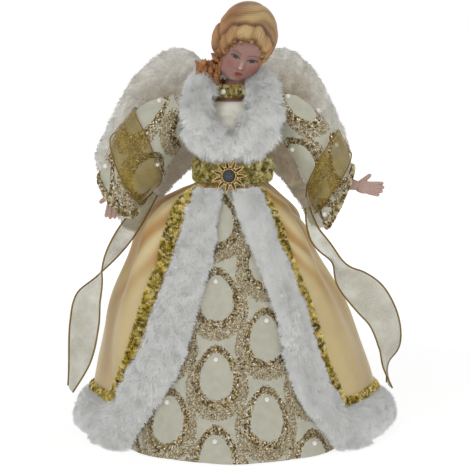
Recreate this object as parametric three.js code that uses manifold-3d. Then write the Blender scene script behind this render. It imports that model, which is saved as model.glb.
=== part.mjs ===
import * as THREE from "three";
import { mergeVertices } from "three/addons/utils/BufferGeometryUtils.js";
import Module from "manifold-3d";

// An angel tree topper: a doll's bust and hands on a card cone, dressed in a patterned underskirt, a
// satin overskirt edged with fur, bell sleeves, a fur collar, plush wings and sheer ribbons.
// Millimetres, +Z up. The angel faces -Y and left is -X. The origin is on the ground, under the middle
// of the whole angel.

const wasm = await Module();
wasm.setup();
const degree = Math.PI / 180;

// Gaps and thicknesses
const seatGap = 0.35;
const cardThick = 1.2;
const clothThick = 1.0;
const braidThick = 1.8;
const cutOverrun = 2;

// Card cone that the tree's top shoot goes into
const coneHeight = 181;
const coneFootRadius = 86;
const coneTopRadius = 18;
const plugDepth = 10;
const torsoFoot = coneHeight + seatGap;
// The skirt is fuller behind, so the cone's axis lies in front of the origin.
const axisForward = 11;

// Underskirt on the cone
const hemClearance = 0.8;
const underskirtDrop = 1;
const hemRippleDepth = 3;
const hemRippleCount = 9;

// Overskirt, open in front and gathered under the belt
const overskirtHemGap = 3;
const overskirtDrop = 2;
const overskirtPuff = 25;
const overskirtLift = 1.2;
const backPuffShare = 0.72;
const foldDepth = 3.2;
const foldCount = 12;
const foldSwirl = 0.8;
const puffOpenAngle = 52 * degree;
// Height as a share of the belt's foot, then the share of the puff there and its swing to the right
const puffShares = [
  [0, 0.66, 0.04],
  [0.12, 0.75, 0.06],
  [0.3, 0.92, -0.02],
  [0.5, 1.06, -0.16],
  [0.7, 0.93, -0.26],
  [0.84, 0.9, -0.32],
  [0.92, 0.66, -0.24],
  [0.97, 0.26, -0.1],
  [1, 0, 0],
];
// Height as a share of the cone's, then half the front slit's angle and its lean, in degrees
const slitHalfAngles = [
  [0, 50],
  [0.08, 46],
  [0.2, 37.5],
  [0.33, 32],
  [0.44, 30.5],
  [0.56, 29],
  [0.69, 23.5],
  [0.83, 16.5],
  [0.97, 9.5],
  [1, 9],
];
const slitLeanAngles = [
  [0, 0],
  [0.2, -1],
  [0.33, 1],
  [0.5, 3],
  [0.69, 2],
  [0.83, -3],
  [0.97, -8],
  [1, -8.5],
];

// Fur trim down the front edges and round the hem, with braid beside it
const furWidth = 26;
const furThick = 9;
const furEdgeThick = 2.4;
const furFootGap = 0.6;
const furHemHeight = 27;
const furHemThick = 10;
const furTuckShare = 0.25;
// Height as a share of the cone's, then the share of the fur's width there
const furWidthShares = {
  left: [
    [0, 1.33],
    [0.13, 1.33],
    [0.32, 1.2],
    [0.49, 1],
    [0.62, 0.88],
    [0.75, 0.75],
    [0.85, 0.64],
    [1, 0.62],
  ],
  right: [
    [0, 1.05],
    [0.19, 1],
    [0.34, 0.88],
    [0.48, 0.74],
    [0.62, 0.66],
    [0.75, 0.65],
    [0.85, 0.66],
    [1, 0.64],
  ],
};
const braidWidth = 4.6;
const trimSink = 1.2;

// Torso form, and the bodice and the shoulder plate that share its outline
const torsoHalfWidth = 19.3;
const torsoHalfDepth = 17;
const torsoHeight = 46;
const plateHeight = 7;
const torsoTop = torsoFoot + torsoHeight;
const plateTop = torsoTop + plateHeight;
const bodiceDrop = 2.4;
// Height share up to the plate's top, then shares of the half width and the half depth
const torsoShares = [
  [0, 1.19, 1.32],
  [0.14, 1.12, 1.22],
  [0.3, 1, 1.1],
  [0.5, 0.98, 1.08],
  [0.66, 0.99, 1],
  [0.8, 0.95, 0.88],
  [0.92, 0.7, 0.72],
  [1, 0.4, 0.5],
];

// Belt and its brooch
const beltDrop = 4;
const beltFoot = coneHeight - beltDrop;
const beltHeight = 14.5;
const beltThick = 2.6;
const beltBeads = 28;
const furTopDrop = 1.7;
const broochRadius = 12;
const broochRays = 11;
const broochCore = 5.2;
const broochThick = 1.6;
const broochTilt = 6 * degree;
const broochOffset = 2.4;
const broochDrop = 1.4;
const gemRadius = 3.9;
const gemHeight = 3;
const gemInset = 1.2;

// Head and neck
const headHalfHeight = 19.5;
const headOffset = 8.4;
const headForwardOffset = 5;
const headHeight = 30.8;
const headMiddle = [headOffset, -headForwardOffset, plateTop + headHeight];
const headPitch = 20 * degree;
const headRoll = 18 * degree;
const headTurn = -5 * degree;
const neckRadius = 6.6;
const neckSink = 4;
const neckCurve = 1.6;
const neckBraidHeight = 8;
const neckBraidThick = 3.8;
const pearlRadius = 1.9;
const pearlAngle = -34 * degree;

// Hair
const hairRoll = 12 * degree;
const ringletRadius = 4.2;
// Balls of the crown, the side roll and the bun: across, back, up, then their half sizes
const hairShares = [
  [0.03, 0.15, 0.62, 1.04, 1.1, 1.15],
  [-0.76, 0.05, 0.32, 0.46, 0.5, 0.68],
  [0.1, 0.8, 0.1, 0.7, 0.62, 0.7],
];
// The opening in the hair that the face shows through, in the same shares
const faceOpeningShares = [0.14, -1.02, -0.32, 0.86, 0.86, 1.06];

// Fur collar: a closed loop round the shoulders
const collarSpan = 34;
const collarHeight = 12.15;
const collarFoot = torsoFoot + collarHeight;
const collarHalfThick = 5.8;
// Across, back, up, half width, then the way that faces the neck, for the right half
const collarShares = [
  [0, -0.775, 0.285, 0.285, 0, 0, 1],
  [0.3, -0.775, 0.375, 0.38, -0.5, 0, 0.87],
  [0.51, -0.77, 0.565, 0.425, -0.85, 0, 0.53],
  [0.61, -0.71, 0.9, 0.4, -0.99, 0, 0.1],
  [0.6, -0.45, 1.27, 0.36, -0.93, 0.1, 0.35],
  [0.63, -0.1, 1.49, 0.29, -0.85, 0, 0.53],
  [0.544, 0.26, 1.6, 0.294, -0.5, -0.4, 0.75],
  [0.265, 0.45, 1.57, 0.294, -0.15, -0.25, 0.95],
  [0, 0.51, 1.54, 0.294, 0, -0.15, 1],
];

// Arms: the shoulder is the middle of the sleeve's ball end
const shoulderHalfWidth = 36;
const shoulderHeight = 40.65;
const shoulderUp = torsoFoot + shoulderHeight;
const shoulderRadius = 17;
const armholeGap = 0.8;
const sleeveHole = 8.4;
const yokeBallRadius = 2.6;
const wireRadius = 0.9;
const wireEndShare = 0.35;
const wireStraightShare = 1.6;
const armReach = 50;
const sleeveLength = 80;
const cuffBraidWidth = 4;
// Stations down a sleeve: upper edge out and up, lower edge out and up, forward, half depth, dip
const sleeveShares = {
  left: [
    [0.16, 0.29, -0.12, -0.3, 0, 0.3, 0],
    [0.54, 0.14, 0.1, -0.6, 0.08, 0.32, 0],
    [0.84, -0.18, 0.22, -0.84, 0.22, 0.34, 0.02],
    [1.04, -0.56, 0.4, -1, 0.38, 0.34, 0.08],
    [1.08, -0.84, 0.6, -1.28, 0.54, 0.28, 0.16],
  ],
  right: [
    [0.16, 0.29, -0.12, -0.3, 0, 0.3, 0],
    [0.48, 0.04, 0.08, -0.54, 0.08, 0.32, 0],
    [0.72, -0.22, 0.24, -0.88, 0.2, 0.34, 0],
    [0.86, -0.46, 0.36, -1.2, 0.34, 0.32, 0.02],
    [0.92, -0.72, 0.58, -1.5, 0.48, 0.26, 0.04],
  ],
};
// The wrist's place, the way the fingers point and the way the palm faces
const handShares = {
  left: { wrist: [0.88, 0.54, -1], fingers: [0.04, 0.2, -1], palm: [0.2, 1, 0.2] },
  right: { wrist: [0.96, 0.5, -0.92], fingers: [1, 0.2, -0.18], palm: [0.1, 0.9, 0.45] },
};
// Each finger's place across the palm, its length and its splay
const fingerShares = [
  [0.34, 0.88, 0.16],
  [0.12, 1, 0.05],
  [-0.11, 0.95, -0.05],
  [-0.33, 0.78, -0.16],
];
const wristRadius = 4;
const forearmLength = 12;
const palmLength = 10;
const palmWidth = 9.4;
const palmThick = 5;
const fingerLength = 9.5;
const fingerRadius = 1.25;

// Wings: each hangs on a wire pin in a socket on the back
const wingSpan = 91;
const wingHeight = 136;
const wingDrop = 63.5;
const wingThick = 9;
const wingEdgeThick = 2.2;
const wingSweep = 8;
const wingSet = 2.6;
const wingAxisHalfWidth = 10;
const wingAxisDepth = 22.4;
const wingFold = { left: 4 * degree, right: 24 * degree };
const wingWireRadius = 1;
const socketRadius = 2.5;
const socketRise = 16.15;
const socketHeight = 15.5;
const socketFoot = torsoFoot + socketRise;
const wingFoot = socketFoot - wingDrop;
const backPlateThick = 2;
const backPlateHalfAngle = 40 * degree;
// Outline out from the hinge and up from the foot
const wingShares = [
  [0.04, 0.456],
  [0.04, 0.72],
  [0.07, 0.88],
  [0.18, 0.978],
  [0.33, 1],
  [0.5, 0.95],
  [0.67, 0.84],
  [0.81, 0.69],
  [0.93, 0.53],
  [1, 0.41],
  [0.94, 0.27],
  [0.85, 0.12],
  [0.74, 0.02],
  [0.61, 0.035],
  [0.49, 0.16],
  [0.34, 0.28],
  [0.18, 0.38],
];

// Ribbons: a wrap round each sleeve and a tail that hangs from it
const ribbonThick = 0.6;
const ribbonWidth = 25;
const ribbonLift = 1.2;
const ribbonDrop = 125;
// Share of the way round the sleeve and along it, then the share of the ribbon's width there
const wrapShares = {
  left: [
    [-0.06, 0.54, 0.6],
    [0.1, 0.6, 0.9],
    [0.25, 0.68, 1],
    [0.4, 0.77, 0.75],
    [0.49, 0.83, 0.35],
  ],
  right: [
    [-0.06, 0.68, 0.5],
    [0.1, 0.7, 0.8],
    [0.25, 0.72, 1],
    [0.4, 0.77, 0.75],
    [0.49, 0.82, 0.35],
  ],
};
// Places out, forward and up from the shoulder, half width and twist in degrees. The first place is
// the wrap's end.
const tailShares = {
  left: [
    [0, 0, 0, 0.014, 0],
    [0.25, 0.13, -0.57, 0.045, 10],
    [0.36, 0.14, -0.73, 0.06, 50],
    [0.44, 0.17, -0.86, 0.07, 95],
    [0.5, 0.24, -0.98, 0.08, 150],
    [0.52, 0.26, -1.12, 0.09, 175],
    [0.53, 0.28, -1.3, 0.1, 185],
    [0.535, 0.28, -1.5, 0.1, 175],
  ],
  right: [
    [0, 0, 0, 0.012, 0],
    [0.165, 0.19, -0.64, 0.035, 0],
    [0.28, 0.19, -0.78, 0.055, -60],
    [0.36, 0.17, -0.89, 0.085, -20],
    [0.47, 0.155, -1, 0.1, 5],
    [0.55, 0.145, -1.12, 0.085, 10],
    [0.585, 0.14, -1.26, 0.075, 30],
    [0.57, 0.13, -1.38, 0.065, 70],
    [0.59, 0.12, -1.5, 0.055, 100],
  ],
};

const vec = (x, y, z) => new THREE.Vector3(x, y, z);
const mix = THREE.MathUtils.lerp;
const turn = 2 * Math.PI;
const spaced = (from, to, count) => Array.from({ length: count + 1 }, (_, k) => mix(from, to, k / count));

// Angles go round from the front, towards +X.
function around(angle, radius, z) {
  return vec(radius * Math.sin(angle), -radius * Math.cos(angle), z);
}

// Smooth value of a table of [place, value, ...] rows.
function along(table, place, column = 1) {
  if (place <= table[0][0]) return table[0][column];
  const last = table.length - 1;
  if (place >= table[last][0]) return table[last][column];
  const row = table.findIndex((entry) => entry[0] > place) - 1;
  const share = (place - table[row][0]) / (table[row + 1][0] - table[row][0]);
  const start = table[row][column];
  const end = table[row + 1][column];
  const startSlope = (end - table[Math.max(row - 1, 0)][column]) / 2;
  const endSlope = (table[Math.min(row + 2, last)][column] - start) / 2;
  const square = share * share;
  const cube = square * share;
  return (
    (2 * cube - 3 * square + 1) * start +
    (cube - 2 * square + share) * startSlope +
    (3 * square - 2 * cube) * end +
    (cube - square) * endSlope
  );
}

// Row of numbers at a share of the way through a table, smooth through every row.
function rowAt(table, share, looped = false) {
  const spans = looped ? table.length : table.length - 1;
  const place = share * spans;
  const row = Math.min(Math.floor(place), spans - 1);
  const pick = (k) =>
    looped ? table[(k + table.length) % table.length] : table[Math.min(Math.max(k, 0), table.length - 1)];
  const [before, start, end, after] = [row - 1, row, row + 1, row + 2].map(pick);
  const t = place - row;
  return start.map((value, k) => {
    const bend = 2 * before[k] - 5 * value + 4 * end[k] - after[k];
    const twist = 3 * (value - end[k]) + after[k] - before[k];
    return value + (t * (end[k] - before[k] + t * (bend + t * twist))) / 2;
  });
}

// Closed geometry from points and triangles, turned so that its faces point out.
function closedGeometry(points, triangles) {
  let volume = 0;
  for (let i = 0; i < triangles.length; i += 3) {
    const [a, b, c] = [0, 1, 2].map((k) => points[triangles[i + k]]);
    volume += a.dot(b.clone().cross(c));
  }
  const geometry = new THREE.BufferGeometry().setFromPoints(points);
  geometry.setIndex(volume < 0 ? triangles.slice().reverse() : triangles);
  geometry.computeVertexNormals();
  return geometry;
}

// Skin through rings of points; the ends are capped, or joined to each other when looped.
function loft(rings, looped = false) {
  const count = rings[0].length;
  const points = rings.flat();
  const triangles = [];
  const rows = looped ? rings.length : rings.length - 1;
  for (let row = 0; row < rows; row++) {
    const next = (row + 1) % rings.length;
    for (let k = 0; k < count; k++) {
      const beside = (k + 1) % count;
      const [a, b] = [row * count + k, row * count + beside];
      const [c, d] = [next * count + k, next * count + beside];
      triangles.push(a, b, d, a, d, c);
    }
  }
  if (looped) return closedGeometry(points, triangles);
  for (const [ring, flip] of [[0, true], [rings.length - 1, false]]) {
    const middle = rings[ring].reduce((sum, point) => sum.add(point), vec(0, 0, 0)).divideScalar(count);
    points.push(middle);
    for (let k = 0; k < count; k++) {
      const [a, b] = [ring * count + k, ring * count + ((k + 1) % count)];
      triangles.push(...(flip ? [points.length - 1, b, a] : [points.length - 1, a, b]));
    }
  }
  return closedGeometry(points, triangles);
}

// A wall all the way round, between an outer and an inner surface of (turn share, length share).
function roundWall(outer, inner, columns, rows) {
  const ring = (surface, v) => Array.from({ length: columns }, (_, k) => surface(k / columns, v));
  const shares = spaced(0, 1, rows);
  const backwards = shares.slice().reverse();
  return loft([...shares.map((v) => ring(outer, v)), ...backwards.map((v) => ring(inner, v))], true);
}

// A sheet with four edges, between two surfaces of (width share, length share).
function slab(top, bottom, columns, rows) {
  const points = [];
  for (const surface of [top, bottom])
    for (let row = 0; row <= rows; row++)
      for (let column = 0; column <= columns; column++) points.push(surface(column / columns, row / rows));
  const width = columns + 1;
  const under = width * (rows + 1);
  const triangles = [];
  const face = (a, b, c, d) => triangles.push(a, b, c, a, c, d);
  for (let row = 0; row < rows; row++)
    for (let column = 0; column < columns; column++) {
      const a = row * width + column;
      face(a, a + 1, a + width + 1, a + width);
      face(under + a, under + a + width, under + a + width + 1, under + a + 1);
    }
  for (let row = 0; row < rows; row++) {
    const [a, b] = [row * width, row * width + columns];
    face(a + width, under + a + width, under + a, a);
    face(b, under + b, under + b + width, b + width);
  }
  for (let column = 0; column < columns; column++) {
    const [a, b] = [column, rows * width + column];
    face(a, under + a, under + a + 1, a + 1);
    face(b + 1, under + b + 1, under + b, b);
  }
  return closedGeometry(points, triangles);
}

// Round rod through the points, with its ends capped.
function rod(points, radius, sides, stepCount) {
  const curve = new THREE.CatmullRomCurve3(points, false, "centripetal");
  const frames = curve.computeFrenetFrames(stepCount, false);
  const rings = frames.tangents.map((_, step) => {
    const middle = curve.getPointAt(step / stepCount);
    return Array.from({ length: sides }, (_, k) => {
      const angle = (turn * k) / sides;
      return middle
        .clone()
        .addScaledVector(frames.normals[step], radius * Math.cos(angle))
        .addScaledVector(frames.binormals[step], radius * Math.sin(angle));
    });
  });
  return loft(rings);
}

function ball(middle, halfX, halfY, halfZ, columns, rows) {
  const geometry = new THREE.SphereGeometry(1, columns, rows);
  geometry.rotateX(Math.PI / 2);
  geometry.scale(halfX, halfY, halfZ);
  geometry.translate(...middle);
  return geometry;
}
function upright(radius, height, sides) {
  const geometry = new THREE.CylinderGeometry(radius, radius, height, sides).rotateX(Math.PI / 2);
  return geometry.translate(0, 0, height / 2);
}

// Booleans
function solidOf(geometry) {
  const bare = geometry.clone();
  bare.deleteAttribute("normal");
  bare.deleteAttribute("uv");
  const merged = mergeVertices(bare, 1e-4);
  return new wasm.Manifold(
    new wasm.Mesh({
      numProp: 3,
      vertProperties: merged.attributes.position.array,
      triVerts: new Uint32Array(merged.index.array),
    }),
  );
}
function geometryOf(solid) {
  const mesh = solid.getMesh();
  const geometry = new THREE.BufferGeometry();
  geometry.setAttribute("position", new THREE.BufferAttribute(mesh.vertProperties, 3));
  geometry.setIndex(new THREE.BufferAttribute(mesh.triVerts, 1));
  geometry.computeVertexNormals();
  return geometry;
}
const join = (...geometries) => geometryOf(geometries.map(solidOf).reduce((sum, next) => sum.add(next)));
const cut = (geometry, ...tools) =>
  geometryOf(tools.map(solidOf).reduce((rest, tool) => rest.subtract(tool), solidOf(geometry)));

// Materials
const material = (color, roughness, metalness = 0) =>
  new THREE.MeshStandardMaterial({ color, roughness, metalness, side: THREE.DoubleSide });
const finishes = {
  card: material(0xb9a07a, 0.9),
  foam: material(0xe9e6de, 0.9),
  patterned: material(0xd8cfb4, 0.6),
  satin: material(0xcdb27a, 0.35),
  bodice: material(0xd6cbb0, 0.5),
  fur: material(0xe9e9e4, 0.95),
  braid: material(0xb08f1e, 0.35, 0.8),
  gold: material(0xc9973f, 0.3, 1),
  gem: material(0x6d7076, 0.1),
  pearl: material(0xe9e6dc, 0.2),
  skin: material(0xc9a59b, 0.55),
  hair: material(0xb5833f, 0.6),
  wire: material(0x9a9a98, 0.35, 1),
  socket: material(0xdcd9d0, 0.5),
  ribbon: material(0xb3a04a, 0.4),
};

const angel = new THREE.Group();
angel.position.y = -axisForward;
function add(name, geometry, finish, parent = angel) {
  const mesh = new THREE.Mesh(geometry, finish);
  mesh.name = name;
  parent.add(mesh);
}

// Skirts
const coneRadius = (z) => mix(coneFootRadius, coneTopRadius, z / coneHeight);
function underskirtRadius(angle, z) {
  const low = 1 - z / coneHeight;
  const ripple = (1 + Math.cos(hemRippleCount * angle)) / 2;
  return coneRadius(z) + seatGap + clothThick + hemRippleDepth * low ** 3 * ripple;
}
const slitHalf = (z) => along(slitHalfAngles, z / coneHeight) * degree;
const slitLean = (z) => along(slitLeanAngles, z / coneHeight) * degree;
const signed = (angle) => (angle > Math.PI ? angle - turn : angle);

// The overskirt lies on the underskirt beside the slit and stands off at the sides and the back.
function overskirtRadius(angle, z) {
  const aside = (Math.abs(signed(angle) - slitLean(z)) - slitHalf(z)) / puffOpenAngle;
  const opened = THREE.MathUtils.smoothstep(aside, 0, 1);
  const behind = (1 - Math.cos(angle)) / 2;
  const fullShare = along(puffShares, z / beltFoot) + along(puffShares, z / beltFoot, 2) * Math.sin(angle);
  const puffShare = fullShare * mix(1, backPuffShare, behind ** 2);
  const folds = foldDepth * puffShare * Math.cos(foldCount * angle + foldSwirl * Math.sin(3 * angle));
  const low = 1 - z / coneHeight;
  const base = coneRadius(z) + 2 * seatGap + clothThick + clothThick + hemRippleDepth * low ** 3;
  return base + overskirtLift + opened * (overskirtPuff * puffShare + folds);
}

const coneWall = (inward) => (u, v) =>
  around(turn * u, coneRadius(v * coneHeight) - inward, v * coneHeight);
add("card_cone", roundWall(coneWall(0), coneWall(cardThick), 5 * hemRippleCount, 1), finishes.card);

const underskirtWall = (inward) => (u, v) => {
  const z = mix(hemClearance, coneHeight - underskirtDrop, v);
  return around(turn * u, underskirtRadius(turn * u, z) - inward, z);
};
const underskirt = roundWall(underskirtWall(0), underskirtWall(clothThick), 5 * hemRippleCount, 4);
add("underskirt", underskirt, finishes.patterned);

// The overskirt's edges are tucked under the fur, and it runs from one round the back to the other.
const trimRadius = (z) => coneRadius(z) + 2 * clothThick + overskirtLift + furThick / 2;
const furSpan = (side, z) => {
  const shares = side < 0 ? furWidthShares.left : furWidthShares.right;
  return (furWidth * along(shares, z / coneHeight)) / trimRadius(z);
};
const skirtLevelShares = [0, 0.09, 0.19, 0.38, 0.58, 0.74, 0.86, 0.94, 1];
const skirtLevels = skirtLevelShares.map((share) => mix(overskirtHemGap, beltFoot - seatGap, share));
skirtLevels.push(coneHeight - overskirtDrop);
const levelAt = (levels, v) => levels[Math.round(v * (levels.length - 1))];
const levelsBetween = (from, to) => [from, ...skirtLevels.filter((z) => z > from && z < to), to];
const overskirtWall = (inward, reach) => (u, v) => {
  const z = levelAt(skirtLevels, v) + (v === 0 ? -reach : 0);
  const edge = (side) => slitHalf(z) + furTuckShare * furSpan(side, z) - reach / trimRadius(z);
  const angle = slitLean(z) + mix(edge(1), turn - edge(-1), u);
  return around(angle, overskirtRadius(angle, z) - inward, z);
};
const overskirtSheet = (outer, inner, reach) =>
  slab(overskirtWall(outer, reach), overskirtWall(inner, reach), 6 * foldCount, skirtLevels.length - 1);
add("overskirt", overskirtSheet(0, clothThick, 0), finishes.satin);
const overskirtSeat = overskirtSheet(-seatGap, 5 * trimSink, seatGap);

// A crowned strip that lies on the overskirt; its angle and height follow (u across, v along).
function skirtStrip(angleAt, heightAt, thick, edgeThick, columns, rows) {
  const surface = (top) => (u, v) => {
    const angle = angleAt(u, v);
    const z = heightAt(u, v);
    const crown = edgeThick + (thick - edgeThick) * Math.sqrt(1 - (2 * u - 1) ** 2);
    return around(angle, overskirtRadius(angle, z) + (top ? crown : -trimSink), z);
  };
  return cut(slab(surface(true), surface(false), columns, rows), overskirtSeat);
}
const furEdge = (side, z, across) => slitLean(z) + side * (slitHalf(z) + across * furSpan(side, z));
const furTop = beltFoot - furTopDrop;
const hemBraidFoot = furFootGap + furHemHeight + seatGap;

for (const [name, side] of [["left", -1], ["right", 1]]) {
  const furLevels = levelsBetween(furFootGap, furTop);
  const furAt = (u, v) => levelAt(furLevels, v);
  const furAngle = (u, v) => furEdge(side, furAt(u, v), u);
  const furRows = furLevels.length - 1;
  add(`fur_front_${name}`, skirtStrip(furAngle, furAt, furThick, furEdgeThick, 5, furRows), finishes.fur);
  const braidLevels = levelsBetween(hemBraidFoot + braidWidth + seatGap, furTop);
  const braidAt = (u, v) => levelAt(braidLevels, v);
  const braidAngle = (u, v) => {
    const z = braidAt(u, v);
    return furEdge(side, z, 1) + (side * (1.5 * seatGap + u * braidWidth)) / trimRadius(z);
  };
  const braidRows = braidLevels.length - 1;
  add(
    `braid_front_${name}`,
    skirtStrip(braidAngle, braidAt, braidThick, braidThick / 2, 2, braidRows),
    finishes.braid,
  );
}
// The hem's strips run from beside one front strip round the back to the other.
function hemAngle(z, v) {
  const gap = (2 * seatGap) / coneFootRadius;
  return mix(furEdge(1, z, 1) + gap, turn + furEdge(-1, z, 1) - gap, v);
}
const furHemAt = (u) => mix(furFootGap, furFootGap + furHemHeight, u);
const furHemAngle = (u, v) => hemAngle(furHemAt(u), v);
const hemColumns = 36;
add("fur_hem", skirtStrip(furHemAngle, furHemAt, furHemThick, furEdgeThick, 4, hemColumns), finishes.fur);
const hemBraidAt = (u) => mix(hemBraidFoot, hemBraidFoot + braidWidth, u);
const hemBraidAngle = (u, v) => hemAngle(hemBraidAt(u), v);
const hemBraid = skirtStrip(hemBraidAngle, hemBraidAt, braidThick, braidThick / 2, 2, hemColumns);
add("braid_hem", hemBraid, finishes.braid);

// Torso form, with a plug for the cone's mouth and a bore for the arms' yoke wire
function torsoPoint(angle, height, out) {
  const share = (height - torsoFoot) / (plateTop - torsoFoot);
  const halfWidth = torsoHalfWidth * along(torsoShares, share, 1) + out;
  const halfDepth = torsoHalfDepth * along(torsoShares, share, 2) + out;
  return vec(halfWidth * Math.sin(angle), -halfDepth * Math.cos(angle), height);
}
const torsoSides = 20;
const torsoLevels = spaced(torsoFoot, torsoTop, 5);
const plateLevels = [torsoTop + plateHeight / 2, plateTop - bodiceDrop];
const torsoAngles = spaced(0, turn, torsoSides).slice(1);
const torsoRing = (height, out) => torsoAngles.map((angle) => torsoPoint(angle, height, out));
const plugRing = (z) => torsoAngles.map((angle) => around(angle, coneRadius(z) - cardThick - seatGap, z));
const yokeHalf = shoulderHalfWidth - yokeBallRadius - seatGap;
const yokeRod = (half, radius) => rod([vec(-half, 0, shoulderUp), vec(half, 0, shoulderUp)], radius, 8, 1);
const yokeBore = yokeRod(shoulderHalfWidth, wireRadius + seatGap);
const torso = loft([
  plugRing(coneHeight - plugDepth),
  plugRing(coneHeight),
  ...torsoLevels.map((height) => torsoRing(height, 0)),
]);
add("torso_form", cut(torso, yokeBore), finishes.foam);
const bodiceLevels = [...torsoLevels, ...plateLevels];
const bodiceWall = (out) => (u, v) => torsoPoint(turn * u, levelAt(bodiceLevels, v), out);
const bodiceOut = seatGap + clothThick;
const bodice = roundWall(bodiceWall(bodiceOut), bodiceWall(seatGap), torsoSides, bodiceLevels.length - 1);
add("bodice", cut(bodice, yokeBore), finishes.bodice);
add("arm_yoke", yokeRod(yokeHalf, wireRadius), finishes.wire);

// Belt: a beaded band that clears the overskirt's top and the bodice's waist
const waistPoints = torsoRing(torsoFoot, bodiceOut).map((point) => Math.hypot(point.x, point.y));
const beltInner = Math.max(overskirtRadius(0, beltFoot - seatGap), ...waistPoints) + 2 * seatGap;
const crownOf = (v) => Math.sqrt(1 - (0.8 * (2 * v - 1)) ** 2);
const beltOuter = (u, v) => {
  const bead = (beltThick / 6) * Math.cos(turn * beltBeads * u);
  return around(turn * u, beltInner + beltThick * crownOf(v) + bead, beltFoot + v * beltHeight);
};
const beltLining = (u, v) => around(turn * u, beltInner, beltFoot + v * beltHeight);
add("belt", roundWall(beltOuter, beltLining, 2 * beltBeads, 2), finishes.braid);

// Brooch: a pierced star of rays on a cup, with a faceted gem in the cup
function rayStar(radius, core, rays, thick) {
  const shape = new THREE.Shape();
  const waistShare = 0.62;
  const halfRay = Math.PI / rays;
  for (let ray = 0; ray < rays; ray++) {
    const angle = 2 * halfRay * ray;
    const at = (distance, share) => {
      const direction = angle + share * halfRay;
      return [distance * Math.cos(direction), distance * Math.sin(direction)];
    };
    if (ray === 0) shape.moveTo(...at(core, -1));
    shape.lineTo(...at(radius * waistShare, -0.42));
    shape.lineTo(...at(radius, 0));
    shape.lineTo(...at(radius * waistShare, 0.42));
    shape.lineTo(...at(core, 1));
    const slot = new THREE.Path();
    slot.moveTo(...at(core * 1.15, 0));
    slot.lineTo(...at(radius * waistShare, 0.17));
    slot.lineTo(...at(radius * 0.8, 0));
    slot.lineTo(...at(radius * waistShare, -0.17));
    slot.closePath();
    shape.holes.push(slot);
  }
  return new THREE.ExtrudeGeometry(shape, { depth: thick, bevelEnabled: false }).rotateX(Math.PI / 2);
}
const brooch = new THREE.Group();
const beltMiddle = beltFoot + beltHeight / 2;
const broochBack = beltInner + beltThick * (1 + 1 / 6) + seatGap + broochThick;
brooch.position.set(-broochOffset, -broochBack, beltMiddle - broochDrop);
brooch.rotation.x = -broochTilt;
angel.add(brooch);
// Forwards is -Y: the star's back is at 0 and its face at -broochThick.
const disc = (radius, from, to, sides) =>
  new THREE.CylinderGeometry(radius, radius, to - from, sides).translate(0, -(from + to) / 2, 0);
const cupHeight = 2 * broochThick;
const star = rayStar(broochRadius, broochCore, broochRays, broochThick);
const gemSeat = disc(gemRadius + seatGap, cupHeight - gemInset, cupHeight + cutOverrun, 20);
add("brooch_star", cut(join(star, disc(broochCore, 0, cupHeight, 22)), gemSeat), finishes.gold, brooch);
const gemProfileShares = [
  [0, 0],
  [0.72, 0],
  [1, 0.42],
  [1, 0.58],
  [0.6, 1],
  [0, 1],
];
const gemProfile = gemProfileShares.map(([out, up]) => new THREE.Vector2(gemRadius * out, gemHeight * up));
const gemPlace = cupHeight - gemInset + seatGap;
const gem = new THREE.LatheGeometry(gemProfile, 10).rotateX(Math.PI).translate(0, -gemPlace, 0);
add("brooch_gem", gem, finishes.gem, brooch);

// Head: face, neck and shoulder plate are one casting. Rows go from the chin to the crown, in shares
// of the head's half height: height, half width, front depth, back depth.
const headShares = [
  [-1, 0.2, 0.6, 0.1],
  [-0.93, 0.33, 0.71, 0.3],
  [-0.78, 0.47, 0.76, 0.5],
  [-0.58, 0.58, 0.77, 0.68],
  [-0.36, 0.66, 0.78, 0.8],
  [-0.12, 0.71, 0.78, 0.88],
  [0.12, 0.74, 0.79, 0.94],
  [0.38, 0.75, 0.81, 0.97],
  [0.62, 0.7, 0.73, 0.92],
  [0.82, 0.55, 0.55, 0.74],
  [0.95, 0.3, 0.29, 0.42],
];
// Relief of the face: across, up, half width, half height and rise, in the same shares
const faceShares = [
  [0, -0.3, 0.085, 0.1, 0.15],
  [0, -0.1, 0.06, 0.18, 0.07],
  [0.1, -0.36, 0.05, 0.05, 0.04],
  [-0.1, -0.36, 0.05, 0.05, 0.04],
  [0.3, 0.04, 0.15, 0.1, -0.06],
  [-0.3, 0.04, 0.15, 0.1, -0.06],
  [0.28, 0.22, 0.2, 0.07, 0.02],
  [-0.28, 0.22, 0.2, 0.07, 0.02],
  [0, -0.56, 0.13, 0.05, 0.06],
  [0, -0.67, 0.1, 0.05, 0.05],
  [0, -0.9, 0.16, 0.1, 0.05],
  [0.36, -0.34, 0.16, 0.18, 0.03],
  [-0.36, -0.34, 0.16, 0.18, 0.03],
];
function faceRelief(across, up) {
  return faceShares.reduce((sum, [x, z, halfX, halfZ, rise]) => {
    const distance = ((across - x) / halfX) ** 2 + ((up - z) / halfZ) ** 2;
    return sum + rise * Math.exp(-distance);
  }, 0);
}
// Columns crowd towards the front, where the face is.
const frontCrowdShare = 0.42;
function headRing(up, grow, columns) {
  return Array.from({ length: columns }, (_, k) => {
    const even = (turn * k) / columns;
    const angle = even - frontCrowdShare * Math.sin(even);
    const [sine, cosine] = [Math.sin(angle), Math.cos(angle)];
    const across = along(headShares, up, 1) * sine;
    const depth = along(headShares, up, cosine > 0 ? 2 : 3) * cosine;
    const relief = cosine > 0 ? faceRelief(across, up) * cosine : 0;
    const size = headHalfHeight;
    return vec(across * size + grow * sine, -(depth + relief) * size - grow * cosine, up * (size + grow));
  });
}
const headRowShares = [
  -1, -0.93, -0.84, -0.74, -0.67, -0.61, -0.56, -0.46, -0.37, -0.3, -0.18, -0.04, 0.06, 0.16, 0.26, 0.42,
  0.62, 0.82, 0.95,
];
const headSkin = (grow, columns) => loft(headRowShares.map((up) => headRing(up, grow, columns)));
const headTilt = new THREE.Euler(headPitch, headRoll, headTurn, "YXZ");
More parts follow.
